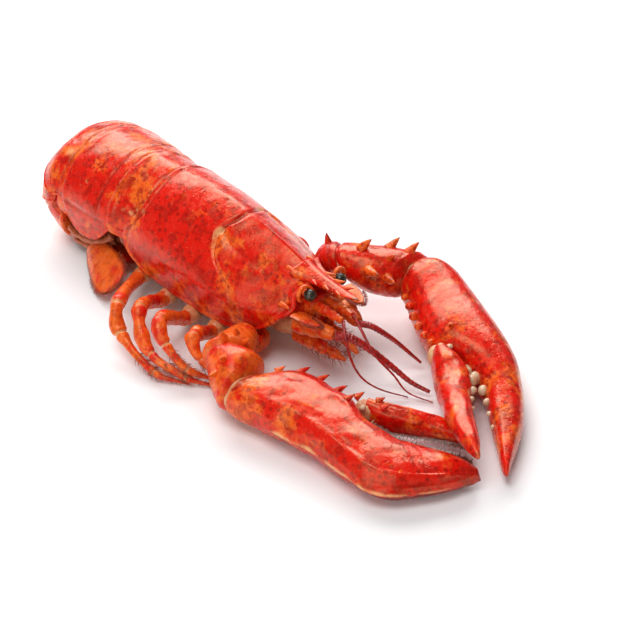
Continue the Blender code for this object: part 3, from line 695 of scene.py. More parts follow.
def tail_skin(way, side, swell, tuck):
    """Outer skin of the tail; swell and tuck are arrays like way."""
    out, radial = arch(along(TAIL_WIDTH, way) + swell, along(TAIL_BACK, way) + swell,
                       along(TAIL_EDGE, way) + tuck, along(TAIL_BROAD, way), along(TAIL_POWER, way),
                       np.abs(side), TAIL_BEND, TAIL_TUCK)
    return curled(way, np.sign(side) * out, radial)


def make_segment(index, name, start, end):
    """One shell of the tail, from start to end along the back."""
    rows, count, under_count = (70 if end - start > 25 else 46), 181, 14
    t = np.linspace(0, 1, rows)[:, None]
    side = np.linspace(-1, 1, count)[None, :]
    way = start + 0.1 + (end - start + (0.9 if index < 5 else 0)) * t
    swell = (0.9 if index else 0.25) * t - 0.45
    swell = swell - 0.55 * ramp(0.045 - t, 0,
                                0.045) + 0.35 * bump(t, 0.93, 0.05) - 0.9 * ramp(t, 0.975, 1.0)
    tuck = (1.2 if index else 4.0) * np.abs(2 * t - 1) ** 3 + 0 * side
    if index == 1:
        tuck = 4.0 * np.abs(2 * t - 1) ** 3 * np.where(t < 0.5, 1.0, 0.5)
    full_side = side + 0 * t
    grid = tail_skin(way + 0 * side, full_side, swell + 0 * side, tuck + 0 * side)
    turn = np.abs(full_side)
    under = np.linspace(0.9, -0.9, under_count)
    low = []
    for r in range(rows):
        w = float(way[r, 0])
        lift = max(float(along(TAIL_EDGE, w)) + float(np.atleast_1d(tuck[r])[0]), 0)
        low.append(curled(np.full(under_count, w), under * float(along(TAIL_WIDTH, w)),
                          lift + 6 * (1 - np.abs(under) ** 3) + 0.6))
    ring = np.concatenate([grid, np.stack(low)], axis=1)
    normal = outward(ring)[:, :count]
    relief = waves(grid, 17, 20 + index) * 0.2 + waves(grid, 6, 30 + index) * 0.06
    fold = bump(t, 0.22 if index else 0.45, 0.035)
    relief = relief - fold * 0.45 * ramp(-turn, -0.72, -0.6)
    pleat = bump(turn, 0.77, 0.022) * ramp(t, 0.02, 0.2) * ramp(-t, -0.98, -0.8)
    relief -= pleat * 0.55
    relief += bump(turn, 0.985, 0.02) * 0.5
    grid = grid + normal * relief[..., None]
    ring[:, :count] = grid

    orange = 0.16 + 0.26 * waves(grid, 15, 40 + index) + 0.25 * ramp(turn, 0.82, 0.98)
    if index == 0:
        orange += 0.12 + 0.2 * bump(turn, 0.45, 0.2)
    if index == 1:
        # Painted highlight: a round orange patch high on the second shell, with less orange lower down.
        orange += 0.32 * bump(np.hypot((turn - 0.22) * 2.4, (t - 0.4)), 0,
                              0.42) - 0.18 * ramp(turn, 0.4, 0.7)
    if index >= 2:
        orange += 0.18 + 0.2 * bump(turn, 0.4, 0.3)
    pale = 0.55 * bump(turn, 0.5, 0.05) * bump(t, 0.62, 0.16) * ramp(waves(grid, 6, 50 + index), 0.0, 0.6)
    if index == 0:
        pale += 0.7 * bump(turn, 0.52, 0.07) * bump(t, 0.72, 0.16) * (0.6 + 0.4 * waves(grid, 5, 53))
    if index == 2:
        pale += 0.55 * bump(turn, 0.34, 0.05) * bump(t, 0.5, 0.28)
    dark = 0.32 * ramp(turn, 0.95, 1.0) + 0.22 * ramp(t, 0.96, 1.0)
    # Painted shade: the fourth to sixth shells, tucked under the curl, get darker lower flanks and darken
    # with each shell.
    if index >= 3:
        dark = dark + 0.16 * ramp(turn, 0.55, 0.9) + 0.03 * index
    groove = 0.55 * ramp(0.03 - t, 0, 0.03) + 0.3 * pleat + 0.38 * fold * ramp(-turn, -0.7, -0.5) + 0 * turn

    def fill(values, base):
        return np.concatenate([values + np.zeros((rows, count)), np.full((rows, under_count), base)],
                              axis=1)

    paint = {"orange": fill(orange, 0.8), "pale": fill(pale, 0.45), "dark": fill(dark, 0.35),
             "groove": fill(groove, 0.0)}
    shell = tube_piece("tail_shell_" + str(index + 1), ring, paint, finish("shell"))
    seat(shell, name)


def make_tail():
    """The six shells, front to back."""
    for index, (name, start, end) in enumerate(SEGMENTS):
        make_segment(index, name, start, end)


# ---------------------------------------------------------------- tail fan and underside

def fringe_part(name, edge, out, rng, copies, jitter, splay, lift, length, radius, seed):
    """Fine bristles along a plate's free edge."""
    places = np.repeat(edge, copies, axis=0) + rng.normal(0, jitter, (len(edge) * copies, 3))
    aims = unit(np.repeat(out, copies, axis=0) + rng.normal(0, splay, places.shape))
    return scattered(name, places + aims * lift, aims, 1.0, length, radius, finish("fringe"), seed=seed)


def fan_plate(name, root, tip, half_keys, cup, tilt, thick=1.5, seed=1):
    """A cupped tail plate with ribs and a worn rim; returns it, its free edge and the way out there."""
    root, tip = np.array(root, float), np.array(tip, float)
    ahead = unit(tip - root)
    flat = unit(np.cross(ahead, UP))
    raised = np.cross(flat, ahead)
    lean = math.radians(tilt)
    across = flat * math.cos(lean) + raised * math.sin(lean)
    normal = np.cross(ahead, across)
    rows, count = 60, 40
    t = np.linspace(0, 1, rows)[:, None]
    x = np.linspace(-1, 1, count)[None, :]
    half = along(half_keys, t)
    bow = cup * (1 - x * x) * np.sin(math.pi * np.minimum(t + 0.15, 1))
    rib = sum(bump(x, place, 0.09) for place in (-0.3, 0.3)) * (1 - 0.6 * t)
    fine = 0.06 * np.sin(x * 46) * ramp(t, 0.55, 0.9)
    body = thick / 2 * (1 - 0.78 * np.abs(x) ** 3)
    base = (root + (tip - root) * t[..., None] + across * (half * x)[..., None] - normal * bow[..., None])
    top = base + normal * (body + 0.45 * rib * body + fine)[..., None]
    low = base - normal * (body * 0.8)[..., None]
    grid = np.concatenate([top, low[:, ::-1]], axis=1)
    grid = rippled(grid, UP, 9, seed, 0.10)
    rim = ramp(np.abs(x), 0.72, 0.95) + ramp(t, 0.90, 1.0)
    orange = 0.85 - 0.5 * rim + 0.25 * waves(top, 7, seed + 3)
    dark = 0.50 * rim + 0.14 * rib
    both = {"orange": np.concatenate([orange, orange[:, ::-1] * 0.9], axis=1),
            "dark": np.concatenate([dark + 0 * x, (dark + 0.1)[:, ::-1]], axis=1),
            "pale": np.concatenate([0.18 * bump(x, 0, 0.5) * (1 - t), 0.2 + 0 * (x * t)], axis=1)}
    obj = tube_piece(name, grid, both, finish("limb_shell"), tips=(root - ahead * 0.4, tip + ahead * 0.3))
    edge = np.concatenate([base[rows // 2:, 0], base[-1], base[rows // 2:, -1][::-1]])
    out = np.concatenate([-across + 0 * base[rows // 2:, 0], ahead + 0 * base[-1], across
                          + 0 * base[rows // 2:, 0]])
    out = unit(out + ahead * 0.8)
    return obj, edge, out


def make_tail_fan():
    """The five plates of the tail fan, tucked in under the curl."""
    fan = [(0, 3.5), (0.3, 6.5), (0.75, 8.5), (0.95, 6), (1, 3.5)]
    wide = [(0, 4.5), (0.3, 7.8), (0.75, 9.4), (0.95, 6.5), (1, 3.5)]
    telson = [(0, 7.5), (0.3, 9), (0.8, 8), (0.96, 5.5), (1, 3)]
    plates = [("telson", (0, 52, 4.2), (0, 20, 6.0), telson, 1.0, 0)]
    outer = {-1: ("right", (-25.6, 42, 8.4), (-40.4, 5, 9.2)),
             1: ("left", (25.6, 42, 8.4), (33.6, 12, 8.6))}
    for side, (label, root, tip) in outer.items():
        plates.append(("uropod_inner_" + label, (side * 13.6, 51, 6.0), (side * 19, 19, 6.4), fan, 1.2,
                       -side * 16))
        plates.append(("uropod_outer_" + label, root, tip, wide, 1.6, side * 38))
    rng = np.random.default_rng(41)
    for index, (node, root, tip, keys, cup, tilt) in enumerate(plates):
        obj, edge, out = fan_plate(node + "_plate", root, tip, keys, cup, tilt, seed=60 + index)
        fringe = fringe_part(node + "_fringe", edge, out, rng, 3, 0.22, 0.2, 0.2, 1.2, 0.10, index)
        obj = joined(node + "_plate", [obj, fringe])
        seat(obj, node)


def fold_part(route, width, thick, material, paint, seed, rows=44, count=22):
    """A soft folded strip along a route, in mm."""
    grid = limb_grid(route, [(0, width * 0.5, thick), (0.2, width, thick), (0.8, width, thick),
                             (1, width * 0.5, thick)],
                     rows, count)["grid"]
    grid = rippled(grid, UP, 6, seed, 0.5)
    return tube_piece("fold", grid, paint, material)


def make_tail_inside():
    """Soft folded underside and swimmerets inside the curled tail."""
    parts = []
    soft = finish("soft_belly")
    rng = np.random.default_rng(8)
    for row, y in enumerate((2, 14, 27, 39)):
        for side in (-1, 1):
            root = np.array([side * 15.5, y, 24.4 - 0.5 * row])
            tip = np.array([side * (21.5 - row), y - 5.5, 15.0 - 0.4 * row])
            middle = (root + tip) / 2 + [side * 1.2, -1.5, 0]
            parts.append(fold_part([root, middle, tip], 3.4, 0.8, soft, {"orange": 0.25, "dark": 0.12},
                                   90 + row * 2 + (side > 0)))
    for row, y in enumerate((-3, 10, 23, 36, 48)):
        route = [(-21.4, y, 25.6), (-12, y + 1.4, 27.4), (0, y + 1.8, 27.8), (12, y + 1.4, 27.4),
                 (21.4, y, 25.6)]
        parts.append(fold_part(route, 1.9, 1.5, soft, {"orange": 0.15 + 0.1 * rng.random(), "dark": 0.1},
                               70 + row, 70, 18))
    for side in (-1, 1):
        for index, (x, z, sag, width) in enumerate(((27.2, 11.5, 1.0, 2.6), (26.2, 7.6, 1.6, 2.4),
                                                    (22.8, 13.6, 0.6, 3.0),
                                                    (21.8, 8.6, 1.4, 3.0), (17.0, 15.0, 1.0, 3.4))):
            route = [(side * x, 58.5, z), (side * (x - 0.7), 50.5, z - sag),
                     (side * (x - 2.2), 43, z - sag * 0.8),
                     (side * (x - 4.0), 36, z + 0.8), (side * (x - 6.0), 31.5, z + 4.5)]
            # Painted shade: folds set deeper into the tail's hollow get darker and less orange.
            hollow_shade = 0.10 + 0.09 * index
            parts.append(fold_part(route, width, 1.7, soft, {"orange": 0.55 - 0.1 * index, "dark": hollow_shade},
                                   110 + index + 7 * (side > 0), 60, 20))
    for side in (-1, 1):
        hub = bead_part((side * 27.6, 60.5, 25.6), (2.8, 7.5, 7.5), finish("shell"),
                        {"orange": 0.4, "dark": 0.15})
        parts.append(hub)
    inside = joined("tail_underside", parts)
    seat(inside, None)


def make_thorax():
    """Breast plates and the beige hip joints that the legs stand on."""
    parts = []
    y = np.linspace(-6, -80, 70)[:, None]
    angle = around(40)
    half = along([(-80, 7), (-60, 11), (-30, 14), (-6, 14)], y)
    top = along(HEM, y) + 4.6
    low = along([(-80, 9), (-60, 6), (-6, 5)], y)
    pleat = 0.5 * np.sin(y / 15.5 * 2 * math.pi)
    grid = np.stack([(half + pleat) * signed_power(np.cos(angle), 0.6), y + 0 * angle,
                     (top + low) / 2 + (top - low) / 2 * signed_power(np.sin(angle), 0.7)], axis=-1)
    parts.append(tube_piece("breast", grid, {"orange": 0.2}, finish("joint_skin")))
    for side, _ in SIDES:
        for route in leg_routes(side):
            root, under = np.array(route[0]), np.array(route[1])
            inner = root + [-side * 5.0, 0.5, -0.5]
            sizes = [(0, 4.4, 4.0), (0.3, 4.9, 4.4), (0.62, 4.0, 3.8), (0.8, 4.4, 4.2), (1, 3.2, 3.4)]
            tube = limb_grid([inner, root, under + (under - root) * 0.12], sizes, 34, 26)
            grid = rippled(tube["grid"], UP, 5, 3, 0.2)
            parts.append(tube_piece("hip", grid, {"orange": 0.35 + 0.3 * tube["t"][:, None]},
                                    finish("joint_skin")))
    breast = joined("breast_plates", parts)
    seat(breast, "thorax")


# ---------------------------------------------------------------- walking legs

def limb_grid(points, sizes, rows, count):
    """Rings along a jointed limb, and where they are; sizes hold (way, half width, half height)."""
    points = np.asarray(points, float)
    way = np.concatenate([[0], np.cumsum(np.linalg.norm(np.diff(points, axis=0), axis=1))])
    way = way / way[-1]
    keys = [list(zip(way, points[:, axis])) for axis in range(3)]

    def line(t):
        return np.stack([along(key, t) for key in keys], axis=-1)

    t = np.linspace(0, 1, rows)
    ahead = unit(line(np.minimum(t + 0.03, 1)) - line(np.maximum(t - 0.03, 0)))
    side, top = frame_of(ahead)
    w = along([(a, b) for a, b, c in sizes], t)
    h = along([(a, c) for a, b, c in sizes], t)
    angle = around(count)[..., None]
    centre = line(t)
    grid = (centre[:, None] + side[:, None] * (w[:, None, None] * np.cos(angle))
            + top[:, None] * (h[:, None, None] * np.sin(angle)))
    return {"grid": grid, "t": t, "centre": centre, "ahead": ahead, "angle": angle[..., 0], "way": way}


RIGHT_LEGS = [
    [(-16.5, 5, 9.5), (-27, 3, 10.5), (-56.5, -19.5, 20), (-61, -25, 12), (-62.5, -52, 3.6),
     (-55, -66, 1.2)],
    [(-16.5, -14, 9), (-28, -16, 8), (-51.5, -29, 20), (-59.5, -44, 10), (-55, -64.5, 4),
     (-47, -75.5, 1.2)],
    [(-16.5, -31, 9), (-29, -34, 7.5), (-52.5, -44.5, 23), (-57.3, -52.5, 19), (-54.5, -64.5, 8.5),
     (-44, -75, 2)],
    [(-15, -46, 9), (-27, -50, 7.5), (-46.5, -59.5, 19), (-48.5, -65, 13), (-44, -72, 5.5),
     (-36, -79, 1.2)],
]
LEG_SIZES = [(0, 2.8, 3.2), (0.12, 3.1, 3.5), (0.3, 2.8, 3.2), (0.46, 3.3, 3.6), (0.5, 2.5, 2.6),
             (0.56, 3.3, 3.3), (0.62, 2.6, 2.6), (0.68, 1.8, 2.0), (0.86, 1.5, 1.7), (0.9, 1.1, 1.2),
             (1, 0.4, 0.4)]
LEFT_TUCK, LEFT_DROP = 0.76, 0.62
LEFT_SWEEP = [0, 3, 13, 18, 27, 33]
LEFT_SHARE = [1.4, 1.4, 1.1, 1.15]
LEG_ROWS, LEG_COUNT = 230, 28
LEG_NAMES = ["leg_rear", "leg_third", "leg_second", "leg_first"]


def leg_routes(side):
    """Joint points of the four legs of one side; -1 is the right."""
    routes = []
    for row, points in enumerate(RIGHT_LEGS):
        route = []
        for step, (x, y, z) in enumerate(points):
            if side > 0:
                y += LEFT_SWEEP[step] * LEFT_SHARE[row]
            if side > 0 and step > 1:
                x, z = x * LEFT_TUCK, z * LEFT_DROP
            route.append((-side * x, y, z))
        routes.append(route)
    return routes


def make_legs():
    """All eight legs, drawing their bristles from one random row."""
    rng = np.random.default_rng(17)
    for side, label in SIDES:
        for row, (name, route) in enumerate(zip(LEG_NAMES, leg_routes(side))):
            make_leg(f"{name}_{label}", route, rng, 100 + 10 * row + side)


def make_leg(node, route, rng, seed):
    """One walking leg with its joints and the bristles of its foot."""
    limb = limb_grid(route, LEG_SIZES, LEG_ROWS, LEG_COUNT)
    t, way = limb["t"], limb["way"]
    swell, seam = np.zeros_like(t), np.zeros_like(t)
    for joint, reach in ((way[1] + 0.03, 0.8), (way[2], 1.0), (way[3] + 0.03, 1.0), (way[4], 0.8)):
        swell += reach * (0.07 * bump(t, joint - 0.020, 0.012) + 0.09 * bump(t, joint + 0.019, 0.013))
        swell -= reach * 0.26 * bump(t, joint, 0.006)
        seam += bump(t, joint, 0.0075)
    radial = limb["grid"] - limb["centre"][:, None]
    grid = limb["centre"][:, None] + radial * (1 + swell)[:, None, None]
    edge = 0.10 * np.abs(np.cos(limb["angle"])) ** 6 * ramp(t, way[2], way[3])[:, None]
    grid = grid + radial * edge[..., None] + unit(radial) * (waves(grid, 6, seed) * 0.12)[..., None]
    tipward = ramp(t, way[4] - 0.02, way[4] + 0.05)[:, None]
    orange = 0.50 + 0.3 * waves(grid, 10, seed + 1) - 0.30 * ramp(t, way[3], way[4])[:, None]
    paint = {"orange": orange, "dark": 0.34 * tipward + 0.2 * ramp(t, 0.93, 1)[:, None],
             "pale": 0.72 * seam[:, None] + 0.10 + 0.12 * waves(grid, 12, seed + 2),
             "groove": 0.25 * seam[:, None] ** 4}
    leg = tube_piece(node + "_shell", grid, paint, finish("limb_shell"))
    parts = [leg]
    normal = unit(radial)
    foot = int(way[4] * (LEG_ROWS - 1))
    tuft_rows = np.concatenate([np.linspace(foot - 26, LEG_ROWS - 6, 46).astype(int),
                                np.full(10, foot - 3)])
    rows = np.repeat(tuft_rows, 5)
    spots = rng.integers(0, LEG_COUNT, len(rows))
    places = grid[rows, spots]
    ahead = limb["ahead"][rows]
    aims = unit(normal[rows, spots] * 0.75 + ahead * 1.1 + rng.normal(0, 0.15, places.shape))
    sizes = 1.1 - 0.5 * (t[rows] - way[4]) / (1 - way[4])
    keep = places[:, 2] > 1.0
    parts.append(scattered(node + "_hair", (places + aims * 0.35)[keep], aims[keep], sizes[keep], 1.5,
                           0.085,
                           finish("bristle"), seed=seed))
    obj = joined(node + "_shell", parts)
    seat(obj, node)


# ---------------------------------------------------------------- arms

def arm_grid(start, end, sizes, faces=None, belly=(0, 0, 0), rows=90, count=64, gap=0.4):
    """Skin of one arm joint with slanted ends, and a function for points on it."""
    start, end, belly = np.array(start, float), np.array(end, float), np.array(belly, float)
    ahead = unit(end - start)
    side, top = frame_of(ahead)
    face_a, face_b = [unit(face) for face in faces] if faces else (ahead, ahead)
    start, end = start + ahead * gap / 2, end - ahead * gap / 2
    widths = [(t, w) for t, w, h in sizes]
    heights = [(t, h) for t, w, h in sizes]

    def skin(t, angle, shrink=1.0):
        t, angle = np.broadcast_arrays(np.asarray(t, float), np.asarray(angle, float))
        centre = start + (end - start) * t[..., None] + belly * np.sin(math.pi * t)[..., None]
        offset = (side * (along(widths, t) * np.cos(angle) * shrink)[..., None]
                  + top * (along(heights, t) * np.sin(angle) * shrink)[..., None])
        slant = (offset @ face_a / (ahead @ face_a) * (1 - t) ** 1.5
                 + offset @ face_b / (ahead @ face_b) * t**1.5)
        return centre + offset - ahead * slant[..., None]

    t = np.linspace(0, 1, rows)[:, None]
    angle = around(count)
    rounded = 1 - 0.14 * (1 - ramp(t, 0, 0.07)) - 0.10 * ramp(t, 0.94, 1.0) + 0.05 * bump(t, 0.88, 0.05)
    grid = skin(t, angle, rounded + 0 * angle)
    return {"grid": grid, "skin": skin, "t": t, "angle": angle, "side": side, "top": top, "ahead": ahead,
            "centre": grid.mean(axis=1, keepdims=True)}


def arm_shell(node, form, colours, thorns, seed, material="limb_shell"):
    """One arm joint's shell with its thorns, in place of its CAD node."""
    grid, t = form["grid"], form["t"]
    out = unit(grid - form["centre"])
    grid = grid + out * (waves(grid, 13, seed) * 0.28 + waves(grid, 5, seed + 1) * 0.08)[..., None]
    ends = (1 - ramp(t, 0, 0.06)) + ramp(t, 0.95, 1.0)
    # colours holds the joint's orange, pale and dark values; on the far arm the dark value is painted
    # shade.
    paint = {"orange": colours[0] + 0.3 * waves(grid, 11, seed + 2), "pale": colours[1] + 0.22 * ends
             + 0.14 * waves(grid, 7, seed + 3), "dark": colours[2] + 0.16 * ends, "groove": 0.1 * ends}
    parts = [tube_piece(node + "_shell", grid, paint, finish(material))]
    for place, degrees, height in thorns:
        angle = math.radians(degrees)
        root = form["skin"](place, angle)
        out_dir = form["side"] * math.cos(angle) + form["top"] * math.sin(angle)
        tip = root + out_dir * height * 1.2 + form["ahead"] * height * 0.85
        parts.append(spine_part(root - out_dir * 1.0, tip, height * 0.58, finish(material),
                                {"orange": 0.8, "pale": 0.12}, out_dir * height * 0.12, 16, 14))
    obj = joined(node + "_shell", parts)
    seat(obj, node)


def skin_joint(name, place, ahead, width, height, length, seed):
    """Folded cream skin that bridges two arm joints."""
    ahead = unit(np.array(ahead, float))
    side, top = frame_of(ahead)
    rows, count = 40, 48
    t = np.linspace(-1, 1, rows)[:, None]
    angle = around(count)
    puff = (1 - 0.30 * t * t) * (1 + 0.025 * np.sin(t * 17))
    grid = (np.array(place, float) + ahead * (t * length / 2)[..., None]
            + side * (width * puff * np.cos(angle))[..., None]
            + top * (height * puff * np.sin(angle))[..., None])
    grid = rippled(grid, unit(grid - np.array(place, float)), 4, seed, 0.2)
    return tube_piece(name, grid, {"orange": 0.25 + 0.3 * waves(grid, 6, seed + 1)}, finish("joint_skin"))


def make_arms():
    """The shells between body and claws, with thorns, and the cream skin in their joints."""
    merus_face, elbow_face, wrist_face = (-0.88, -0.47, 0.1), (-0.66, -0.75, 0), (0, -1, 0)
    form = arm_grid((-12.4, -67.5, 7.6), (-24.4, -70.6, 11), [(0, 4, 3.8), (1, 5.4, 5.2)],
                    ((1, 0, 0), merus_face),
                    (0, -0.6, -1.4), rows=40, count=48)
    arm_shell("ischium_right", form, (0.6, 0.1, 0.0), (), 201)
    form = arm_grid((-25.2, -69.5, 14.5), (-44.5, -80, 17.5),
                    [(0, 6.8, 7), (0.6, 9.5, 9.5), (0.9, 10.5, 10), (1, 9.4, 9)],
                    (merus_face, elbow_face))
    arm_shell("merus_right", form, (0.78, 0.10, 0.0), ((0.7, 100, 3), (0.9, 80, 3.5), (0.9, 130, 3)), 205)
    form = arm_grid((-44.5, -80, 17.5), (-52.4, -97.4, 13.5),
                    [(0, 9, 8.6), (0.35, 11.6, 11), (0.7, 12, 11.4), (1, 9.2, 9)],
                    (elbow_face, wrist_face), (1.6, -0.5, 0.8))
    arm_shell("carpus_right", form, (0.52, 0.06, 0.0), ((0.5, 60, 3.5), (0.7, 90, 3.5), (0.6, 30, 3)), 209)
    merus_face, elbow_face = (0.75, -0.35, 0.5), (0.5, -0.82, 0.4)
    form = arm_grid((12.4, -57, 7), (31.6, -53.4, 6.4), [(0, 4.2, 3.6), (0.7, 4.4, 3.6), (1, 4.8, 4.4)],
                    ((1, 0, 0), merus_face), rows=40, count=48)
    # Painted shade: the far arm lies in the body's shadow, so its ischium and merus get dark values of 0.12
    # and 0.18.
    arm_shell("ischium_left", form, (0.3, 0.0, 0.12), (), 213)
    form = arm_grid((31.6, -53.4, 6.6), (33.4, -70, 26.5), [(0, 4.8, 4.8), (0.5, 6.6, 6.8), (1, 8.4, 8.4)],
                    (merus_face, elbow_face), (1.2, 3.2, 4.6))
    arm_shell("merus_left", form, (0.12, 0.0, 0.18), ((0.75, 95, 3.4),), 217, "claw_shell")
    form = arm_grid((33.4, -70, 26.5), (54.4, -95.4, 21.5),
                    [(0, 8.4, 8.2), (0.3, 11, 10.2), (0.75, 12.4, 10.6), (1, 10, 9.2)],
                    (elbow_face, wrist_face), (-1, -1.5, 0.2), rows=120, count=80)
    arm_shell("carpus_left", form, (0.26, 0.05, 0.0), ((0.3, 90, 4.5), (0.55, 120, 4.5), (0.8, 110, 4.5),
                                                       (0.5, 30, 5), (0.85, 20, 4.5), (0.7, 70, 3)), 221,
              "claw_shell")
    skins = [skin_joint("skin", (-24.8, -70.2, 12.6), (-0.8, -0.3, 0.2), 5.2, 5.4, 6, 301),
             skin_joint("skin", (-44.5, -80, 17.5), (-0.8, -0.6, 0.0), 8.3, 8.0, 7, 303),
             skin_joint("skin", (-52.5, -97.6, 12.8), (-0.1, -1, -0.1), 8.4, 8.0, 8, 305),
             skin_joint("skin", (31.6, -53.4, 6.6), (0.6, -0.3, 0.5), 4.2, 4.0, 5, 307),
             skin_joint("skin", (33.4, -70, 26.5), (0.5, -0.8, 0.4), 7.6, 7.4, 7, 309),
             skin_joint("skin", (54.4, -95.6, 21.3), (0.2, -1, 0), 9.0, 8.4, 8, 311)]
    skin = joined("joint_skins", skins)
    seat(skin, None)


# ---------------------------------------------------------------- claws

def claw_frame(claw):
    """Function from claw lengths (along, inwards, up), as arrays, to the body's layout; and its axes."""
    wrist, tip = np.array(claw["wrist"], float), np.array(claw["tip"], float)
    ahead = unit(tip - wrist)
    side = unit(np.array([-ahead[1], ahead[0], 0])) * claw["inward"]
    top = unit(UP - ahead * ahead[2])

    def place(s, n, z):
        s, n, z = np.broadcast_arrays(np.asarray(s, float), np.asarray(n, float), np.asarray(z, float))
        height = z + along(claw["lift"], s)
        return wrist + ahead * s[..., None] + side * n[..., None] + top * height[..., None]
    return place, (ahead, side, top)


def claw_skin(place, s, outer, inner, thick, c, d, power=0.82, slant=0.0):
    """Points of a claw's flattened section; c runs from its outer (-1) to its inner margin, d is up."""
    middle, half = (outer + inner) / 2, np.abs(inner - outer) / 2
    n = middle + half * signed_power(c, power)
    return place(s + slant * n, n, thick * signed_power(d, power))


RIGHT_CLAW = {
    "palm_grid": (205, 112), "finger_grid": (170, 84),
    "wrist": (-52.6, -97.8, 0), "tip": (-13.8, -198.6, 0), "inward": 1, "slant": 0.39,
    "lift": [(0, 12), (15, 11.5), (60, 9.5), (107, 6)],
    "outer": [(0, -8), (5, -9), (20, -11.6), (34, -14), (48, -18), (58, -22), (68, -24.8), (79, -23.6),
              (90, -16),
              (98, -8), (104, -1), (107, 1.5)],
    "inner": [(0, 9.6), (5, 14.5), (10, 18.5), (17, 20.8), (27, 19.8), (37, 17.3), (44, 15), (50, 11),
              (56, 7),
              (70, 3.2), (80, 4.6), (90, 6.6), (98, 7.2), (104, 5.2), (107, 3)],
    "thick": [(0, 8.6), (8, 10.5), (25, 11.6), (45, 11), (60, 9.8), (80, 8), (95, 6), (104, 3.5), (107, 2)],
    "f_outer": [(51, 19.8), (56, 20.4), (63, 21.6), (73, 24.6), (80, 26.4), (88, 26.6), (94, 24.4),
                (99, 20.6)],
    "f_inner": [(51, 12.2), (57, 11.6), (63, 12.4), (70, 14.2), (80, 17.6), (88, 19.4), (94, 19.6),
                (99, 19)],
    "f_thick": [(51, 6.2), (60, 6.6), (75, 5.4), (88, 3.8), (99, 1.4)],
    "f_lift": [(51, 0.5), (70, -0.2), (99, -1.8)],
    "thorns": ((18, 3.0), (27, 3.4), (37, 3.0)),
}
LEFT_CLAW = {
    "palm_grid": (210, 116), "finger_grid": (180, 90),
    "wrist": (54.4, -95.8, 0), "tip": (-13.6, -195.8, 0), "inward": -1, "slant": 0.62,
    "lift": [(0, 21), (8, 18), (20, 15), (50, 12.5), (85, 8.2), (125, 7.5)],
    "outer": [(0, -7), (5, -12.5), (12, -18), (20, -22), (35, -27.4), (57, -31.4), (75, -30.5), (92, -26.5),
              (105, -21), (115, -16), (122, -12.5)],
    "inner": [(0, 8.6), (6, 7.2), (17, 6), (27, 5.4), (38, 4.2), (46, 2.2), (54, -5), (60, -10), (72, -14),
              (90, -13), (105, -12), (115, -11), (122, -11.5)],
    "thick": [(0, 9.8), (8, 12.6), (25, 14.2), (45, 13.4), (60, 11.6), (85, 8.6), (105, 6), (118, 3.4),
              (122, 2)],
    "f_outer": [(52, 3.8), (58, 5.2), (66, 6), (80, 6.8), (96, 7.2), (111, 6.2), (120, 3.6), (124.5, 1.4)],
    "f_inner": [(52, -3.0), (58, -7.0), (66, -9.4), (75, -8.4), (82, -6.2), (98, -3.6), (111, -2.2),
                (120, -1),
                (124.5, -0.2)],
    "f_thick": [(52, 8), (62, 9.2), (80, 7.4), (100, 5.2), (118, 3.2), (125, 1.2)],
    "f_lift": [(52, 2.5), (70, 3.4), (90, 9), (108, 12.3), (125, 12.5)],
}


def palm_form(claw):
    """Grid of the palm and its fixed finger, with each point's length along and section angle."""
    place, axes = claw_frame(claw)
    rows, count = claw["palm_grid"]
    end = claw["outer"][-1][0]
    s = (0.8 + (end - 3.2) * np.linspace(0, 1, rows) ** 0.96)[:, None]
    angle = around(count)
    c, d = np.cos(angle), np.sin(angle)
    turn = claw["slant"] * np.maximum(0.0, 1 - s / 34)
    grid = claw_skin(place, s, along(claw["outer"], s), along(claw["inner"], s), along(claw["thick"], s),
                     c, d,
                     slant=turn)
    return grid, s, c, d, place, axes


def finger_form(claw):
    """Grid of the moving finger; c is 1 on its free side and -1 on its biting side."""
    place, axes = claw_frame(claw)
    rows, count = claw["finger_grid"]
    start, stop = claw["f_outer"][0][0], claw["f_outer"][-1][0]
    s = (start + (stop - start) * np.linspace(0, 0.985, rows))[:, None]
    angle = around(count)
    c, d = np.cos(angle), np.sin(angle)
    grid = claw_skin(place, s, along(claw["f_inner"], s), along(claw["f_outer"], s),
                     along(claw["f_thick"], s), c, d,
                     0.9)
    grid = grid + UP * along(claw["f_lift"], s)[..., None]
    return grid, s, c, d, place, axes


def claw_relief(grid, size, seed, amount=0.3):
    """The grid with gentle waves of two sizes, out from each ring's middle."""
    out = unit(grid - grid.mean(axis=1, keepdims=True))
    return grid + out * (waves(grid, size, seed) * amount + waves(grid, size * 0.35,
                                                                  seed + 1) * amount * 0.3)[..., None]


def serration(claw, margin, thick, reach, count, level, facing, place, axes):
    """Small dark teeth along a finger's biting margin."""
    at = np.linspace(*reach, count)
    height = along(claw[thick], at) * level
    n = along(claw[margin], at) + facing * along(claw[thick], at) * -0.02
    if margin == "f_inner":
        height = height + along(claw["f_lift"], at)
    points = place(at, n, height)
    aims = axes[1] * facing + np.array([0, 0, 0.35 * np.sign(level)]) + axes[0] * 0.15 + 0 * points
    sizes = 0.75 + 0.45 * np.abs(np.sin(at * 1.9))
    return scattered("teeth", points + aims * 0.35, aims, sizes, 1.7, 0.52, finish("tooth"), 0.25, 7, count)


def claw_part(claw, grid, place, paint, kind=""):
    """Closed skin of the palm, or with kind "f_" of the moving finger, drawn to its tip."""
    (end, outer), (_, inner) = claw[kind + "outer"][-1], claw[kind + "inner"][-1]
    lift = along(claw["f_lift"], end) if kind else -1
    return tube_piece("palm", grid, paint, finish("claw_shell"),
                      tips=(None, place(end, (outer + inner) / 2, lift)))


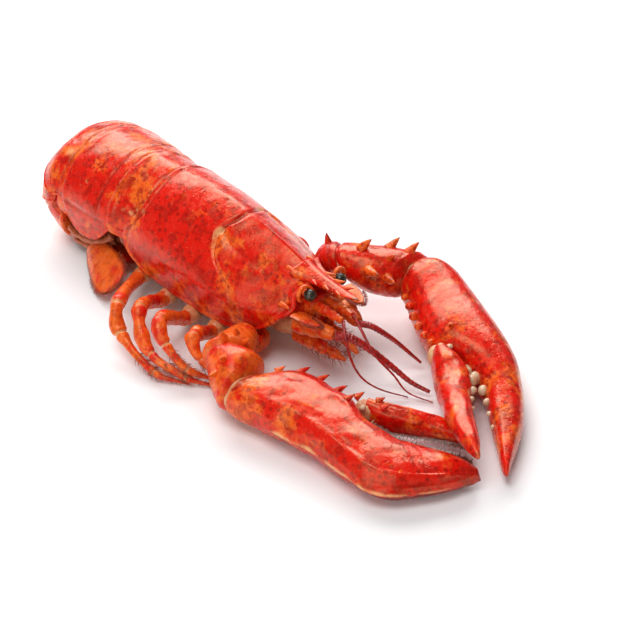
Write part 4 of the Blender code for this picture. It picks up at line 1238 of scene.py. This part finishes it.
def make_right_claw():
    """The near claw: a broad keeled palm and a finger with dark teeth."""
    claw, shell = RIGHT_CLAW, finish("claw_shell")
    grid, s, c, d, place, axes = palm_form(claw)
    grid = claw_relief(grid, 15, 400)
    upward = np.maximum(d, 0)
    ridge = bump(c, 0.42, 0.13) * ramp(d, 0, 0.3) * ramp(s, 8, 20) * ramp(-s, -58, -44)
    grid = grid + axes[2] * (ridge * 0.7)[..., None]
    flank = np.arctan2(d, -c)
    reach = ramp(s, 6, 30) * ramp(-s, -106, -94)
    keel, hollow = bump(flank, 0.82, 0.14) * reach, bump(flank, 0.45, 0.2) * reach
    rim = bump(flank, -0.08, 0.13) * reach
    grid = grid + axes[2] * (keel * 0.8 - hollow * 0.6)[..., None] - axes[1] * (rim * 0.9)[..., None]
    knuckle = bump(s, 47, 5) * bump(c, 0.72, 0.35) * ramp(d, -0.2, 0.5)
    grid = grid + axes[2] * (knuckle * 0.8)[..., None]
    finger = ramp(s, 55, 90)
    orange = (0.85 * ramp(-s, -24, -3) + 0.12 + 0.3 * waves(grid, 14, 402) * (1 - 0.6 * finger)
              - 0.1 * finger)
    orange += 0.12 * bump(c, -0.93, 0.12) * ramp(s, 6, 20) - 0.18 * ramp(-c, 0.5, 0.8) * ramp(s, 26, 44)
    # The pale rim line is the shell's colour; the pale on the keel is a painted highlight.
    pale = 0.9 * bump(flank, -0.06, 0.075) * reach * (0.75 + 0.25 * waves(grid, 8, 405)) + 0.3 * keel
    # The pale at the wrist is the shell's colour; the pale patch on top of the palm's middle is a painted
    # highlight.
    pale += 0.55 * (1 - ramp(s, 0.8, 2.6)) + 0.24 * bump(c, 0.05, 0.5) * bump(s, 38, 14) * ramp(d, 0, 0.6)
    # The dark below the rim and at the tip is the shell's colour; the fixed finger's darker lower half is
    # painted shade.
    dark = 0.50 * bump(flank, -0.36, 0.18) * reach + 0.26 * finger * (1 - upward) + 0.30 * ramp(s, 99, 107)
    dark += 0.30 * bump(flank, 0.42, 0.25) * ramp(s, 30, 55) * reach
    # Painted shade on the palm's underside.
    dark += 0.28 * ramp(-d, 0.3, 0.9)
    dark += 0.35 * bump(c, 1.0, 0.10) * ramp(s, 54, 60)
    paint = {"orange": orange, "pale": pale, "dark": dark, "groove": 0.2 * bump(s, 2.4, 0.7) + 0 * c}
    parts = [claw_part(claw, grid, place, paint)]
    for at, height in claw["thorns"]:
        n = float(along(claw["inner"], at))
        parts.append(spine_part(place(at - 1.8, n - 2.4, 3.2),
                                place(at + height * 1.0, n + height * 1.0, 6.6),
                                2.3, shell, {"orange": 0.35, "pale": 0.12}, (0, 0, 0.6), 16, 14))
    for at, n, z in ((12, 13, 9.4), (48, 13.6, 9.2), (46, 8.5, 11)):
        parts.append(spine_part(place(at - 1, n - 0.6, z - 1), place(at + 2.2, n + 1.2, z + 2), 1.6, shell,
                                {"orange": 0.6}))
    parts.append(serration(claw, "inner", "thick", (57, 101), 58, 0.30, 1, place, axes))
    seat(joined("near_palm", parts), "claw_right")

    grid, s, c, d, place, axes = finger_form(claw)
    grid = claw_relief(grid, 11, 420, 0.2)
    rib = bump(c, 0.35, 0.2) * ramp(d, 0, 0.4)
    grid = grid + axes[2] * (rib * 0.5 * ramp(s, 54, 60))[..., None]
    base = 1 - ramp(s, 51, 55)
    # Orange and pale along the top rib, and the pale strip above the biting edge, are painted highlights.
    orange = 0.28 + 0.3 * waves(grid, 10, 421) + 0.3 * rib
    pale = (0.25 * base + 0.25 * rib * ramp(s, 56, 66) + 0.22 * bump(c, -0.75, 0.12) * ramp(d, 0, 0.3)
            + 0.5 * ramp(s, 95, 99))
    # Darker toward the tip is the shell's colour; darker on the underside and on the lower biting side is
    # painted shade.
    dark = (0.18 * ramp(s, 60, 95) * (1 - rib) + 0.25 * ramp(-d, 0.4, 1)
            + 0.45 * ramp(-c, 0.5, 1.0) * ramp(-d, 0.1, 0.5))
    paint = {"orange": orange, "pale": pale, "dark": dark, "groove": 0.2 * base}
    parts = [claw_part(claw, grid, place, paint, "f_")]
    parts.append(serration(claw, "f_inner", "f_thick", (56, 97), 56, -0.50, -1, place, axes))
    for at, n, z in ((56, 17.5, 7.2), (60, 13, 8.2)):
        parts.append(spine_part(place(at - 1, n, z - 0.8), place(at + 2.0, n + 0.6, z + 1.8), 1.5, shell,
                                {"orange": 0.5}))
    seat(joined("near_finger", parts), "finger_right")

def make_left_claw():
    """The far claw: a swollen palm with knobs, and pale teeth on both fingers."""
    claw, shell = LEFT_CLAW, finish("claw_shell")
    grid, s, c, d, place, _ = palm_form(claw)
    grid = claw_relief(grid, 20, 440, 0.15)
    finger = ramp(s, 55, 92)
    flank = np.arctan2(d, -c)
    band = bump(flank, 0.28, 0.24)
    orange = 0.22 + 0.28 * waves(grid, 18, 441) + 0.35 * ramp(-c, 0.4, 0.9) + 0.25 * ramp(c, 0.6, 1.0)
    pale = 0.62 * bump(flank, 0.60, 0.07) * ramp(s, 10, 22) * (0.6 + 0.4 * waves(grid, 7, 443))
    pale += (0.3 * band * ramp(s, 16, 30) + 0.45 * (1 - ramp(s, 0.8, 3.0))
             + 0.3 * bump(c, 1.0, 0.12) * ramp(s, 54, 60))
    dark = 0.30 * band * ramp(s, 10, 24) * (0.6 + 0.4 * waves(grid, 5, 445)) + 0.25 * ramp(s, 114, 122)
    # Painted shade on the palm's underside; the darker finger is the shell's colour.
    dark += 0.22 * ramp(-d, 0.3, 0.9) + 0.08 * finger
    paint = {"orange": orange, "pale": pale, "dark": dark, "groove": 0.0}
    parts = [claw_part(claw, grid, place, paint)]
    for at, n, z, size in ((12, 8.4, 2.5, 1.6), (18, 7.4, 3.2, 1.9), (25, 7.0, 3.4, 2.0),
                           (32, 6.2, 3.6, 1.9),
                           (39, 5.0, 4.2, 1.8), (45, 3.4, 5.0, 1.6)):
        parts.append(bead_part(place(at, n - 0.6, z), (size * 1.2, size, size), shell,
                               {"orange": 0.75, "pale": 0.25}))
    parts.append(spine_part(place(44, -6, 12), place(47, -4.5, 15.2), 1.7, shell, {"orange": 0.6}))
    for at, size in ((60, 2.0), (65.5, 2.9), (73, 2.3), (80, 1.7), (87, 1.2), (95, 0.9)):
        n = float(along(claw["inner"], at))
        parts.append(bead_part(place(at, n + 0.1 * size, 2.2), (size * 1.15, size, size),
                               finish("tooth_cream"), {}))
    seat(joined("far_palm", parts), "claw_left")

    grid, s, c, d, place, _ = finger_form(claw)
    grid = claw_relief(grid, 14, 460, 0.22)
    rib = bump(c, 0.2, 0.3) * ramp(d, 0, 0.4)
    base = 1 - ramp(s, 52, 56)
    # Orange here and pale below along the top rib are a painted highlight.
    orange = 0.3 + 0.28 * waves(grid, 11, 461) + 0.25 * rib
    pale = 0.3 * base + 0.18 * rib + 0.4 * bump(c, -1, 0.10) + 0.3 * ramp(s, 118, 124)
    # Darker toward the tip is the shell's colour; darker on the underside is painted shade.
    dark = 0.14 * ramp(s, 66, 110) * (1 - rib) + 0.2 * ramp(-d, 0.4, 1)
    paint = {"orange": orange, "pale": pale, "dark": dark, "groove": 0.2 * base}
    parts = [claw_part(claw, grid, place, paint, "f_")]
    for at, size in ((63, 2.2), (69, 2.7), (76.5, 1.9), (84, 1.3), (92, 0.9)):
        n = float(along(claw["f_inner"], at))
        spot = place(at, n - 0.1 * size, 1.0) + UP * float(along(claw["f_lift"], at))
        parts.append(bead_part(spot, (size * 1.1, size * 0.9, size * 0.9), finish("tooth_cream"), {}))
    seat(joined("far_finger", parts), "finger_left")


def make_claw_joints():
    """Cream skin between palm and moving finger, with the hinge knobs."""
    parts = []
    for claw, at, n, z, width in ((RIGHT_CLAW, 50.5, 15.2, 0.5, 5.6), (LEFT_CLAW, 51.5, 0.5, 2.4, 5.8)):
        place, (ahead, _, _) = claw_frame(claw)
        parts.append(skin_joint("skin", place(at, n, z), ahead, width * 0.9, width * 0.95, 7.5,
                                int(at * 7)))
        for dz in (1, -1):
            parts.append(bead_part(place(at + 0.5, n - 4.2, z + dz * 5.4), (1.5, 1.5, 1.2),
                                   finish("tooth_cream"), {}))
    skin = joined("claw_skins", parts)
    seat(skin, None)


# ---------------------------------------------------------------- head

def make_head():
    """The face with its mouth parts, then the eyes, feeler bases, scales and jaw legs."""
    shell, limb = finish("shell"), finish("limb_shell")
    rows, count = 30, 48
    y = np.linspace(-79.5, -91.5, rows)[:, None]
    angle = around(count)
    top = along([(-91, 35), (-79.5, 33)], y)
    grid = np.stack([7 * signed_power(np.cos(angle), 0.6) + 0 * y, y + 0 * angle,
                     (top + 21) / 2 + (top - 21) / 2 * signed_power(np.sin(angle), 0.6)], axis=-1)
    grid = rippled(grid, np.array([0, -1.0, 0]), 5, 500, 0.5)
    parts = [tube_piece("face", grid, {"orange": 0.4, "dark": 0.25}, shell)]
    for side in (-1, 1):
        parts.append(spine_part((side * 4.5, -90, 25), (side * 4.0, -95, 24), 1.5, shell))
        for x, z in ((6.4, 22.8), (5.2, 19.6), (4.2, 16.4)):
            route = [(side * x, -81, z), (side * (x + 1.0), -88, z - 0.4), (side * (x - 1.6), -95, z - 1.2)]
            mouth = limb_grid(route, [(0, 2.2, 2.0), (0.6, 1.9, 1.6), (1, 0.7, 0.6)], 34, 20)
            parts.append(tube_piece("mouth", mouth["grid"], {"orange": 0.6, "pale": 0.25}, limb))
    seat(joined("head_front", parts), "head")
    for side, label in SIDES:
        make_eye(side, label)
        make_feeler_bases(side, label)
        make_jaw_leg(side, label)


def make_eye(side, label):
    """A dark eye on its stalk, with a rim behind it."""
    centre = np.array([side * 8.8, -93.4, 40.2])
    eye = bead_part(centre, (2.9, 2.9, 2.7), finish("eye_black"))
    stalk_route = [(side * 5.2, -87.6, 38.4), (side * 6.8, -90, 39.2), (side * 8.4, -92.4, 40.0)]
    stalk = limb_grid(stalk_route, [(0, 2.6, 2.6), (0.5, 2.8, 2.8), (1, 2.5, 2.5)], 20, 22)
    parts = [eye, tube_piece("stalk", stalk["grid"], {"orange": 0.7, "pale": 0.2}, finish("limb_shell"))]
    turn = np.linspace(-0.35, 1.25, 26) * math.pi
    ring = [centre + [side * (1.4 + 3.2 * math.cos(a)), 2.4, 3.7 * math.sin(a)] for a in turn]
    rim = limb_grid(ring, [(0, 0.4, 0.4), (0.15, 0.95, 0.8), (0.85, 0.95, 0.8), (1, 0.4, 0.4)], 60, 14)
    parts.append(tube_piece("rim", rim["grid"], {"orange": 0.9, "pale": 0.22}, finish("limb_shell")))
    obj = joined("eye_" + label + "_set", parts)
    seat(obj, "eye_" + label)


def make_feeler_bases(side, label):
    """The jointed bases of one side's long and short feelers, and the fringed scale beside them."""
    limb = finish("limb_shell")
    rng = np.random.default_rng(600 + side)
    route = [(side * 12.4, -88.6, 26), (side * 10.4, -95, 25.6), (side * 7.0, -106.4, 25.2)]
    sizes = [(0, 4.4, 4.4), (0.18, 4.9, 4.7), (0.30, 4.7, 4.5), (0.34, 4.0, 3.9), (0.46, 4.2, 4.2),
             (0.60, 3.9, 3.9),
             (0.64, 3.3, 3.3), (0.76, 3.5, 3.4), (0.9, 3.0, 3.0), (1, 2.4, 2.4)]
    tube = limb_grid(route, sizes, 90, 34)
    seam = bump(tube["t"], 0.33, 0.012) + bump(tube["t"], 0.63, 0.012)
    paint = {"orange": 0.55 + 0.3 * waves(tube["grid"], 6, 610 + side), "pale": 0.1 + 0.5 * seam[:, None],
             "groove": 0.35 * seam[:, None]}
    parts = [tube_piece("base", tube["grid"], paint, limb)]
    parts.append(spine_part((side * 14.6, -91, 27.4), (side * 16.2, -96.6, 28), 1.5, limb))
    parts.append(spine_part((side * 12.8, -96.5, 27.6), (side * 13.8, -101, 28.6), 1.2, limb))
    seat(joined("antenna_base_" + label + "_shell", parts), "antenna_base_" + label)

    route = [(side * 3.2, -92, 31), (side * 3.1, -99, 31.2), (side * 2.9, -107, 31)]
    sizes = [(0, 2.2, 2.4), (0.40, 2.5, 2.4), (0.44, 1.9, 1.9), (0.70, 2.1, 2.1), (0.74, 1.6, 1.6),
             (1, 1.5, 1.5)]
    tube = limb_grid(route, sizes, 60, 24)
    obj = tube_piece("antennule_base_" + label + "_shell", tube["grid"],
                     {"orange": 0.5, "pale": 0.15, "dark": 0.15 * tube["t"][:, None]}, limb)
    seat(obj, "antennule_base_" + label)

    obj, edge, out = fan_plate("scale", (side * 15.8, -90, 31.6), (side * 12.6, -103.5, 31),
                               [(0, 2.6), (0.4, 3.4), (0.8, 2.4), (1, 0.8)], 0.4, -side * 12, 1.3, 620
                               + side)
    hair = fringe_part("scale_fringe", edge, out, rng, 4, 0.2, 0.25, 0.5, 1.1, 0.09, 9)
    seat(joined("antenna_scale_" + label + "_plate", [obj, hair]), "antenna_scale_" + label)


JAW_ROWS, JAW_COUNT, JAW_HAIR_ROWS = 90, 26, (26, 88)


def make_jaw_leg(side, label):
    """The hairy outer jaw leg of one side."""
    rng = np.random.default_rng(700 + side)
    route = [(side * 4.4, -80.6, 10.5), (side * 6.2, -94, 13.6), (side * 5.0, -103, 13.4),
             (side * 3.6, -110, 12)]
    sizes = [(0, 3.4, 3.2), (0.40, 3.2, 3.3), (0.44, 2.7, 2.8), (0.62, 3.0, 3.0), (0.66, 2.4, 2.4),
             (0.84, 2.3, 2.4),
             (0.88, 1.7, 1.7), (1, 0.7, 0.7)]
    tube = limb_grid(route, sizes, JAW_ROWS, JAW_COUNT)
    grid = tube["grid"]
    parts = [tube_piece("jaw", grid, {"orange": 0.65 + 0.2 * waves(grid, 5, 701), "pale": 0.15},
                        finish("limb_shell"))]
    hairs = bpy.context.scene.lobster_detail.mouth_hair
    rows = rng.integers(*JAW_HAIR_ROWS, hairs)
    spots = rng.integers(0, JAW_COUNT, hairs)
    places = grid[rows, spots]
    normal = unit(places - tube["centre"][rows])
    aims = unit(normal + tube["ahead"][rows] * 0.9 + np.array([-side * 0.4, 0, 0.1])
                + rng.normal(0, 0.2, normal.shape))
    parts.append(scattered("jaw_hair", places + aims * 0.8, aims, 1.0, 2.6, 0.09, finish("bristle"), 0.4,
                           seed=12))
    seat(joined("maxilliped_" + label + "_leg", parts), "maxilliped_" + label)


# Rows of points, and closeness of the rings.
LONG_FEELER, SHORT_FEELER = (380, 150), (280, 110)
# Route and thickness at the root.
FEELERS = {
    "antenna_left": ([(6.8, -107.6, 25.2), (9.4, -112.5, 25), (14.5, -116.6, 20), (20, -118.8, 13.6),
                      (24, -122.6, 8), (26.5, -126.4, 4.2)], 3.2),
    "antenna_right": ([(-6.8, -107.6, 25.2), (-3.6, -112.5, 25.4), (1.6, -118, 20.5), (8, -126, 12),
                       (11.6, -134.6, 6.2), (15.6, -142.3, 3)], 4.4),
    "antennule_right": ([(-2.9, -107.8, 31.2), (-6.8, -112.8, 29.4), (-7.6, -117.4, 19), (-5, -121.4, 10),
                         (0.4, -127, 4), (8, -136.8, 1.1)], 1.5),
    "antennule_left": ([(2.9, -107.8, 31.2), (1, -115, 28), (1.4, -122.5, 19.5), (5.6, -130, 10.5),
                        (8, -136.5, 3.6), (13, -146.6, 1.2)], 1.5),
}


def make_feelers():
    """The two long and two short ringed feelers."""
    for name, (route, thickness) in FEELERS.items():
        rows, ringed = LONG_FEELER if thickness > 2 else SHORT_FEELER
        share = np.linspace(0, 1, len(route))
        keys = [list(zip(share, [p[axis] for p in route])) for axis in range(3)]
        t = np.linspace(0, 1, rows)
        line = np.stack([along(key, t) for key in keys], axis=-1)
        ahead = unit(np.gradient(line, axis=0))
        side, top = frame_of(ahead, (0.2, 0.9, 0.4))
        rings = 1 + 0.055 * np.sin(t * ringed)
        radius = thickness / 2 * (1 - 0.62 * t) * rings
        angle = around(18)[..., None]
        grid = (line[:, None] + side[:, None] * (radius[:, None, None] * np.cos(angle))
                + top[:, None] * (radius[:, None, None] * np.sin(angle)))
        dark = 0.12 + 0.25 * ramp(t, 0.6, 1)[:, None]
        obj = tube_piece(name + "_feeler", grid, {"dark": dark}, finish("feeler_red"))
        seat(obj, name)


# ---------------------------------------------------------------- stage

# Direction of the camera around and above the lobster in degrees, place in metres and sensor in mm.
CAMERA_AROUND, CAMERA_ABOVE = -43, 36
CAMERA_PLACE = (-0.3852, -0.4435, 0.4301)
CAMERA_SENSOR = 36
# Place from the lobster's middle and size in metres, and watts at a strength of 1.
SOFTBOXES = {
    "back_softbox": ((0.50, 0.70, 0.74), (1.25, 0.68), 25),
    "top_softbox": ((-0.30, -0.05, 0.98), (0.60, 0.60), 8),
    "front_softbox": ((-1.30, -0.50, 0.55), (1.4, 0.9), 11),
}


def softbox(name, place, target, size, power):
    """A rectangular light that faces the target."""
    data = bpy.data.lights.new(name, "AREA")
    data.shape = "RECTANGLE"
    data.size, data.size_y = size
    data.energy = power
    light = bpy.data.objects.new(name, data)
    light.location = place
    light.rotation_euler = (Vector(target) - Vector(place)).to_track_quat("-Z", "Y").to_euler()
    bpy.context.scene.collection.objects.link(light)


def make_stage():
    """Pale floor, even light all around, three softboxes and the camera."""
    setup = bpy.context.scene.lobster_stage
    half = setup.floor_size / 2
    mesh = bpy.data.meshes.new("floor")
    mesh.from_pydata([(-half, -half, 0), (half, -half, 0), (half, half, 0), (-half, half, 0)], [],
                     [(0, 1, 2, 3)])
    floor = bpy.data.objects.new("floor", mesh)
    bpy.context.scene.collection.objects.link(floor)
    s = Shader("floor_paper")
    tone = (*setup.floor_colour, 1)
    mesh.materials.append(s.finish(tone, 0.7, **{"Specular IOR Level": 0.1}))

    world = bpy.data.worlds.new("studio")
    world.use_nodes = True
    world.node_tree.nodes["Background"].inputs["Color"].default_value = (1, 1, 1, 1)
    world.node_tree.nodes["Background"].inputs["Strength"].default_value = setup.fill
    bpy.context.scene.world = world
    middle = (Vector(CAD_LOW) + Vector(CAD_HIGH)) / 2
    for name, (offset, size, watts) in SOFTBOXES.items():
        softbox(name, middle + Vector(offset), middle, size, setup.key * watts)

    turned, above = math.radians(CAMERA_AROUND), math.radians(CAMERA_ABOVE)
    back = Vector((math.sin(turned) * math.cos(above), -math.cos(turned) * math.cos(above),
                   math.sin(above)))
    right = Vector((math.cos(turned), math.sin(turned), 0))
    up = back.cross(right)
    data = bpy.data.cameras.new("camera")
    data.lens = setup.lens
    data.sensor_width = CAMERA_SENSOR
    camera = bpy.data.objects.new("camera", data)
    turn = Matrix((right, up, back)).transposed().to_4x4()
    camera.matrix_world = Matrix.Translation(CAMERA_PLACE) @ turn
    bpy.context.scene.collection.objects.link(camera)
    bpy.context.scene.camera = camera
    bpy.context.scene.view_settings.view_transform = "Standard"


# ---------------------------------------------------------------- add-on

def colour_setting(label, doc, value):
    return FloatVectorProperty(name=label, description=doc, subtype="COLOR", size=3, min=0, max=1,
                               default=value)


class LobsterLook(bpy.types.PropertyGroup):
    """Colours and gloss of the boiled shell."""
    red: colour_setting("Red", "Main colour of the shell", (0.72, 0.007, 0.003))
    deep: colour_setting("Deep Red", "Colour of the blotches and dots", (0.36, 0.003, 0.002))
    orange: colour_setting("Orange", "Colour of the mottling and of the limbs", (0.86, 0.125, 0.012))
    cream: colour_setting("Cream", "Colour of the pale flecks and streaks", (0.86, 0.40, 0.17))
    gloss: FloatProperty(name="Roughness", description="Roughness of the shell, lower is glossier",
                         subtype="FACTOR", min=0.1, max=0.8, default=0.27)


class LobsterDetail(bpy.types.PropertyGroup):
    """Sizes of the small relief."""
    relief: FloatProperty(name="Grain", description="Share of the shells' fine surface grain",
                          subtype="FACTOR",
                          min=0, max=2, default=1.0)
    bristle: FloatProperty(name="Bristles", description="Share of the modelled length of all bristles",
                           subtype="FACTOR", min=0.2, max=2, default=1.0)
    mouth_hair: IntProperty(name="Jaw Hairs", description="Hairs on each jaw leg", min=10, max=600,
                            default=230)


class LobsterStage(bpy.types.PropertyGroup):
    """Floor, lights and camera."""
    floor_size: FloatProperty(name="Floor Size", description="Side of the square floor", subtype="DISTANCE",
                              unit="LENGTH", min=1, max=60, default=24)
    floor_colour: colour_setting("Floor", "Colour of the floor", (0.93, 0.93, 0.93))
    fill: FloatProperty(name="Fill", description="Strength of the even light all around", min=0, max=3,
                        default=0.16)
    key: FloatProperty(name="Softboxes", description="Strength of the softboxes", min=0, max=5,
                       default=0.68)
    lens: FloatProperty(name="Lens", description="Focal length of the camera in millimetres", min=20,
                        max=200,
                        default=90)


def builder(idname, label, doc, steps):
    """An operator class that runs the given making functions."""
    def execute(self, context):
        for step in steps:
            step()
        return {"FINISHED"}

    return type("LOBSTER_OT_" + idname, (bpy.types.Operator,),
                {"bl_idname": "lobster." + idname, "bl_label": label, "__doc__": doc, "execute": execute,
                 "bl_options": {"REGISTER", "UNDO"}})


OPERATORS = (
    builder("carapace", "Carapace", "Build the shield over the head and thorax with its beak",
            (make_carapace,)),
    builder("tail", "Tail Shells", "Build the six shells of the curled tail", (make_tail,)),
    builder("tail_fan", "Tail Fan", "Build the tail plates with their fringes", (make_tail_fan,)),
    builder("underside", "Underside", "Build the breast plates and the soft underside of the tail",
            (make_thorax, make_tail_inside)),
    builder("legs", "Walking Legs", "Build the eight walking legs with joints and bristles", (make_legs,)),
    builder("arms", "Arms", "Build the arm joints and the cream skin between them", (make_arms,)),
    builder("claws", "Claws", "Build both claws with their teeth",
            (make_right_claw, make_left_claw, make_claw_joints)),
    builder("head", "Head", "Build the face, eyes, feeler bases, scales and jaw legs", (make_head,)),
    builder("feelers", "Feelers", "Build the four ringed feelers", (make_feelers,)),
    builder("stage", "Stage", "Build the floor, the soft lights and the camera", (make_stage,)),
)


class LOBSTER_PT_build(bpy.types.Panel):
    """Lists the settings and the building steps."""
    bl_label = "Lobster"
    bl_idname = "LOBSTER_PT_build"
    bl_space_type = "VIEW_3D"
    bl_region_type = "UI"
    bl_category = "Lobster"

    def draw(self, context):
        for group in SETTINGS:
            settings = getattr(context.scene, group)
            box = self.layout.box()
            for key in settings.__annotations__:
                box.prop(settings, key)
        for kind in OPERATORS:
            self.layout.operator(kind.bl_idname)


SETTINGS = {"lobster_look": LobsterLook, "lobster_detail": LobsterDetail, "lobster_stage": LobsterStage}
CLASSES = tuple(SETTINGS.values()) + OPERATORS + (LOBSTER_PT_build,)


def register():
    for kind in CLASSES:
        bpy.utils.register_class(kind)
    for name, kind in SETTINGS.items():
        setattr(bpy.types.Scene, name, PointerProperty(type=kind))


def unregister():
    for name in SETTINGS:
        delattr(bpy.types.Scene, name)
    for kind in reversed(CLASSES):
        bpy.utils.unregister_class(kind)


def main():
    register()
    for kind in OPERATORS:
        getattr(bpy.ops.lobster, kind.bl_idname.split(".")[1])()


if __name__ == "__main__":
    main()
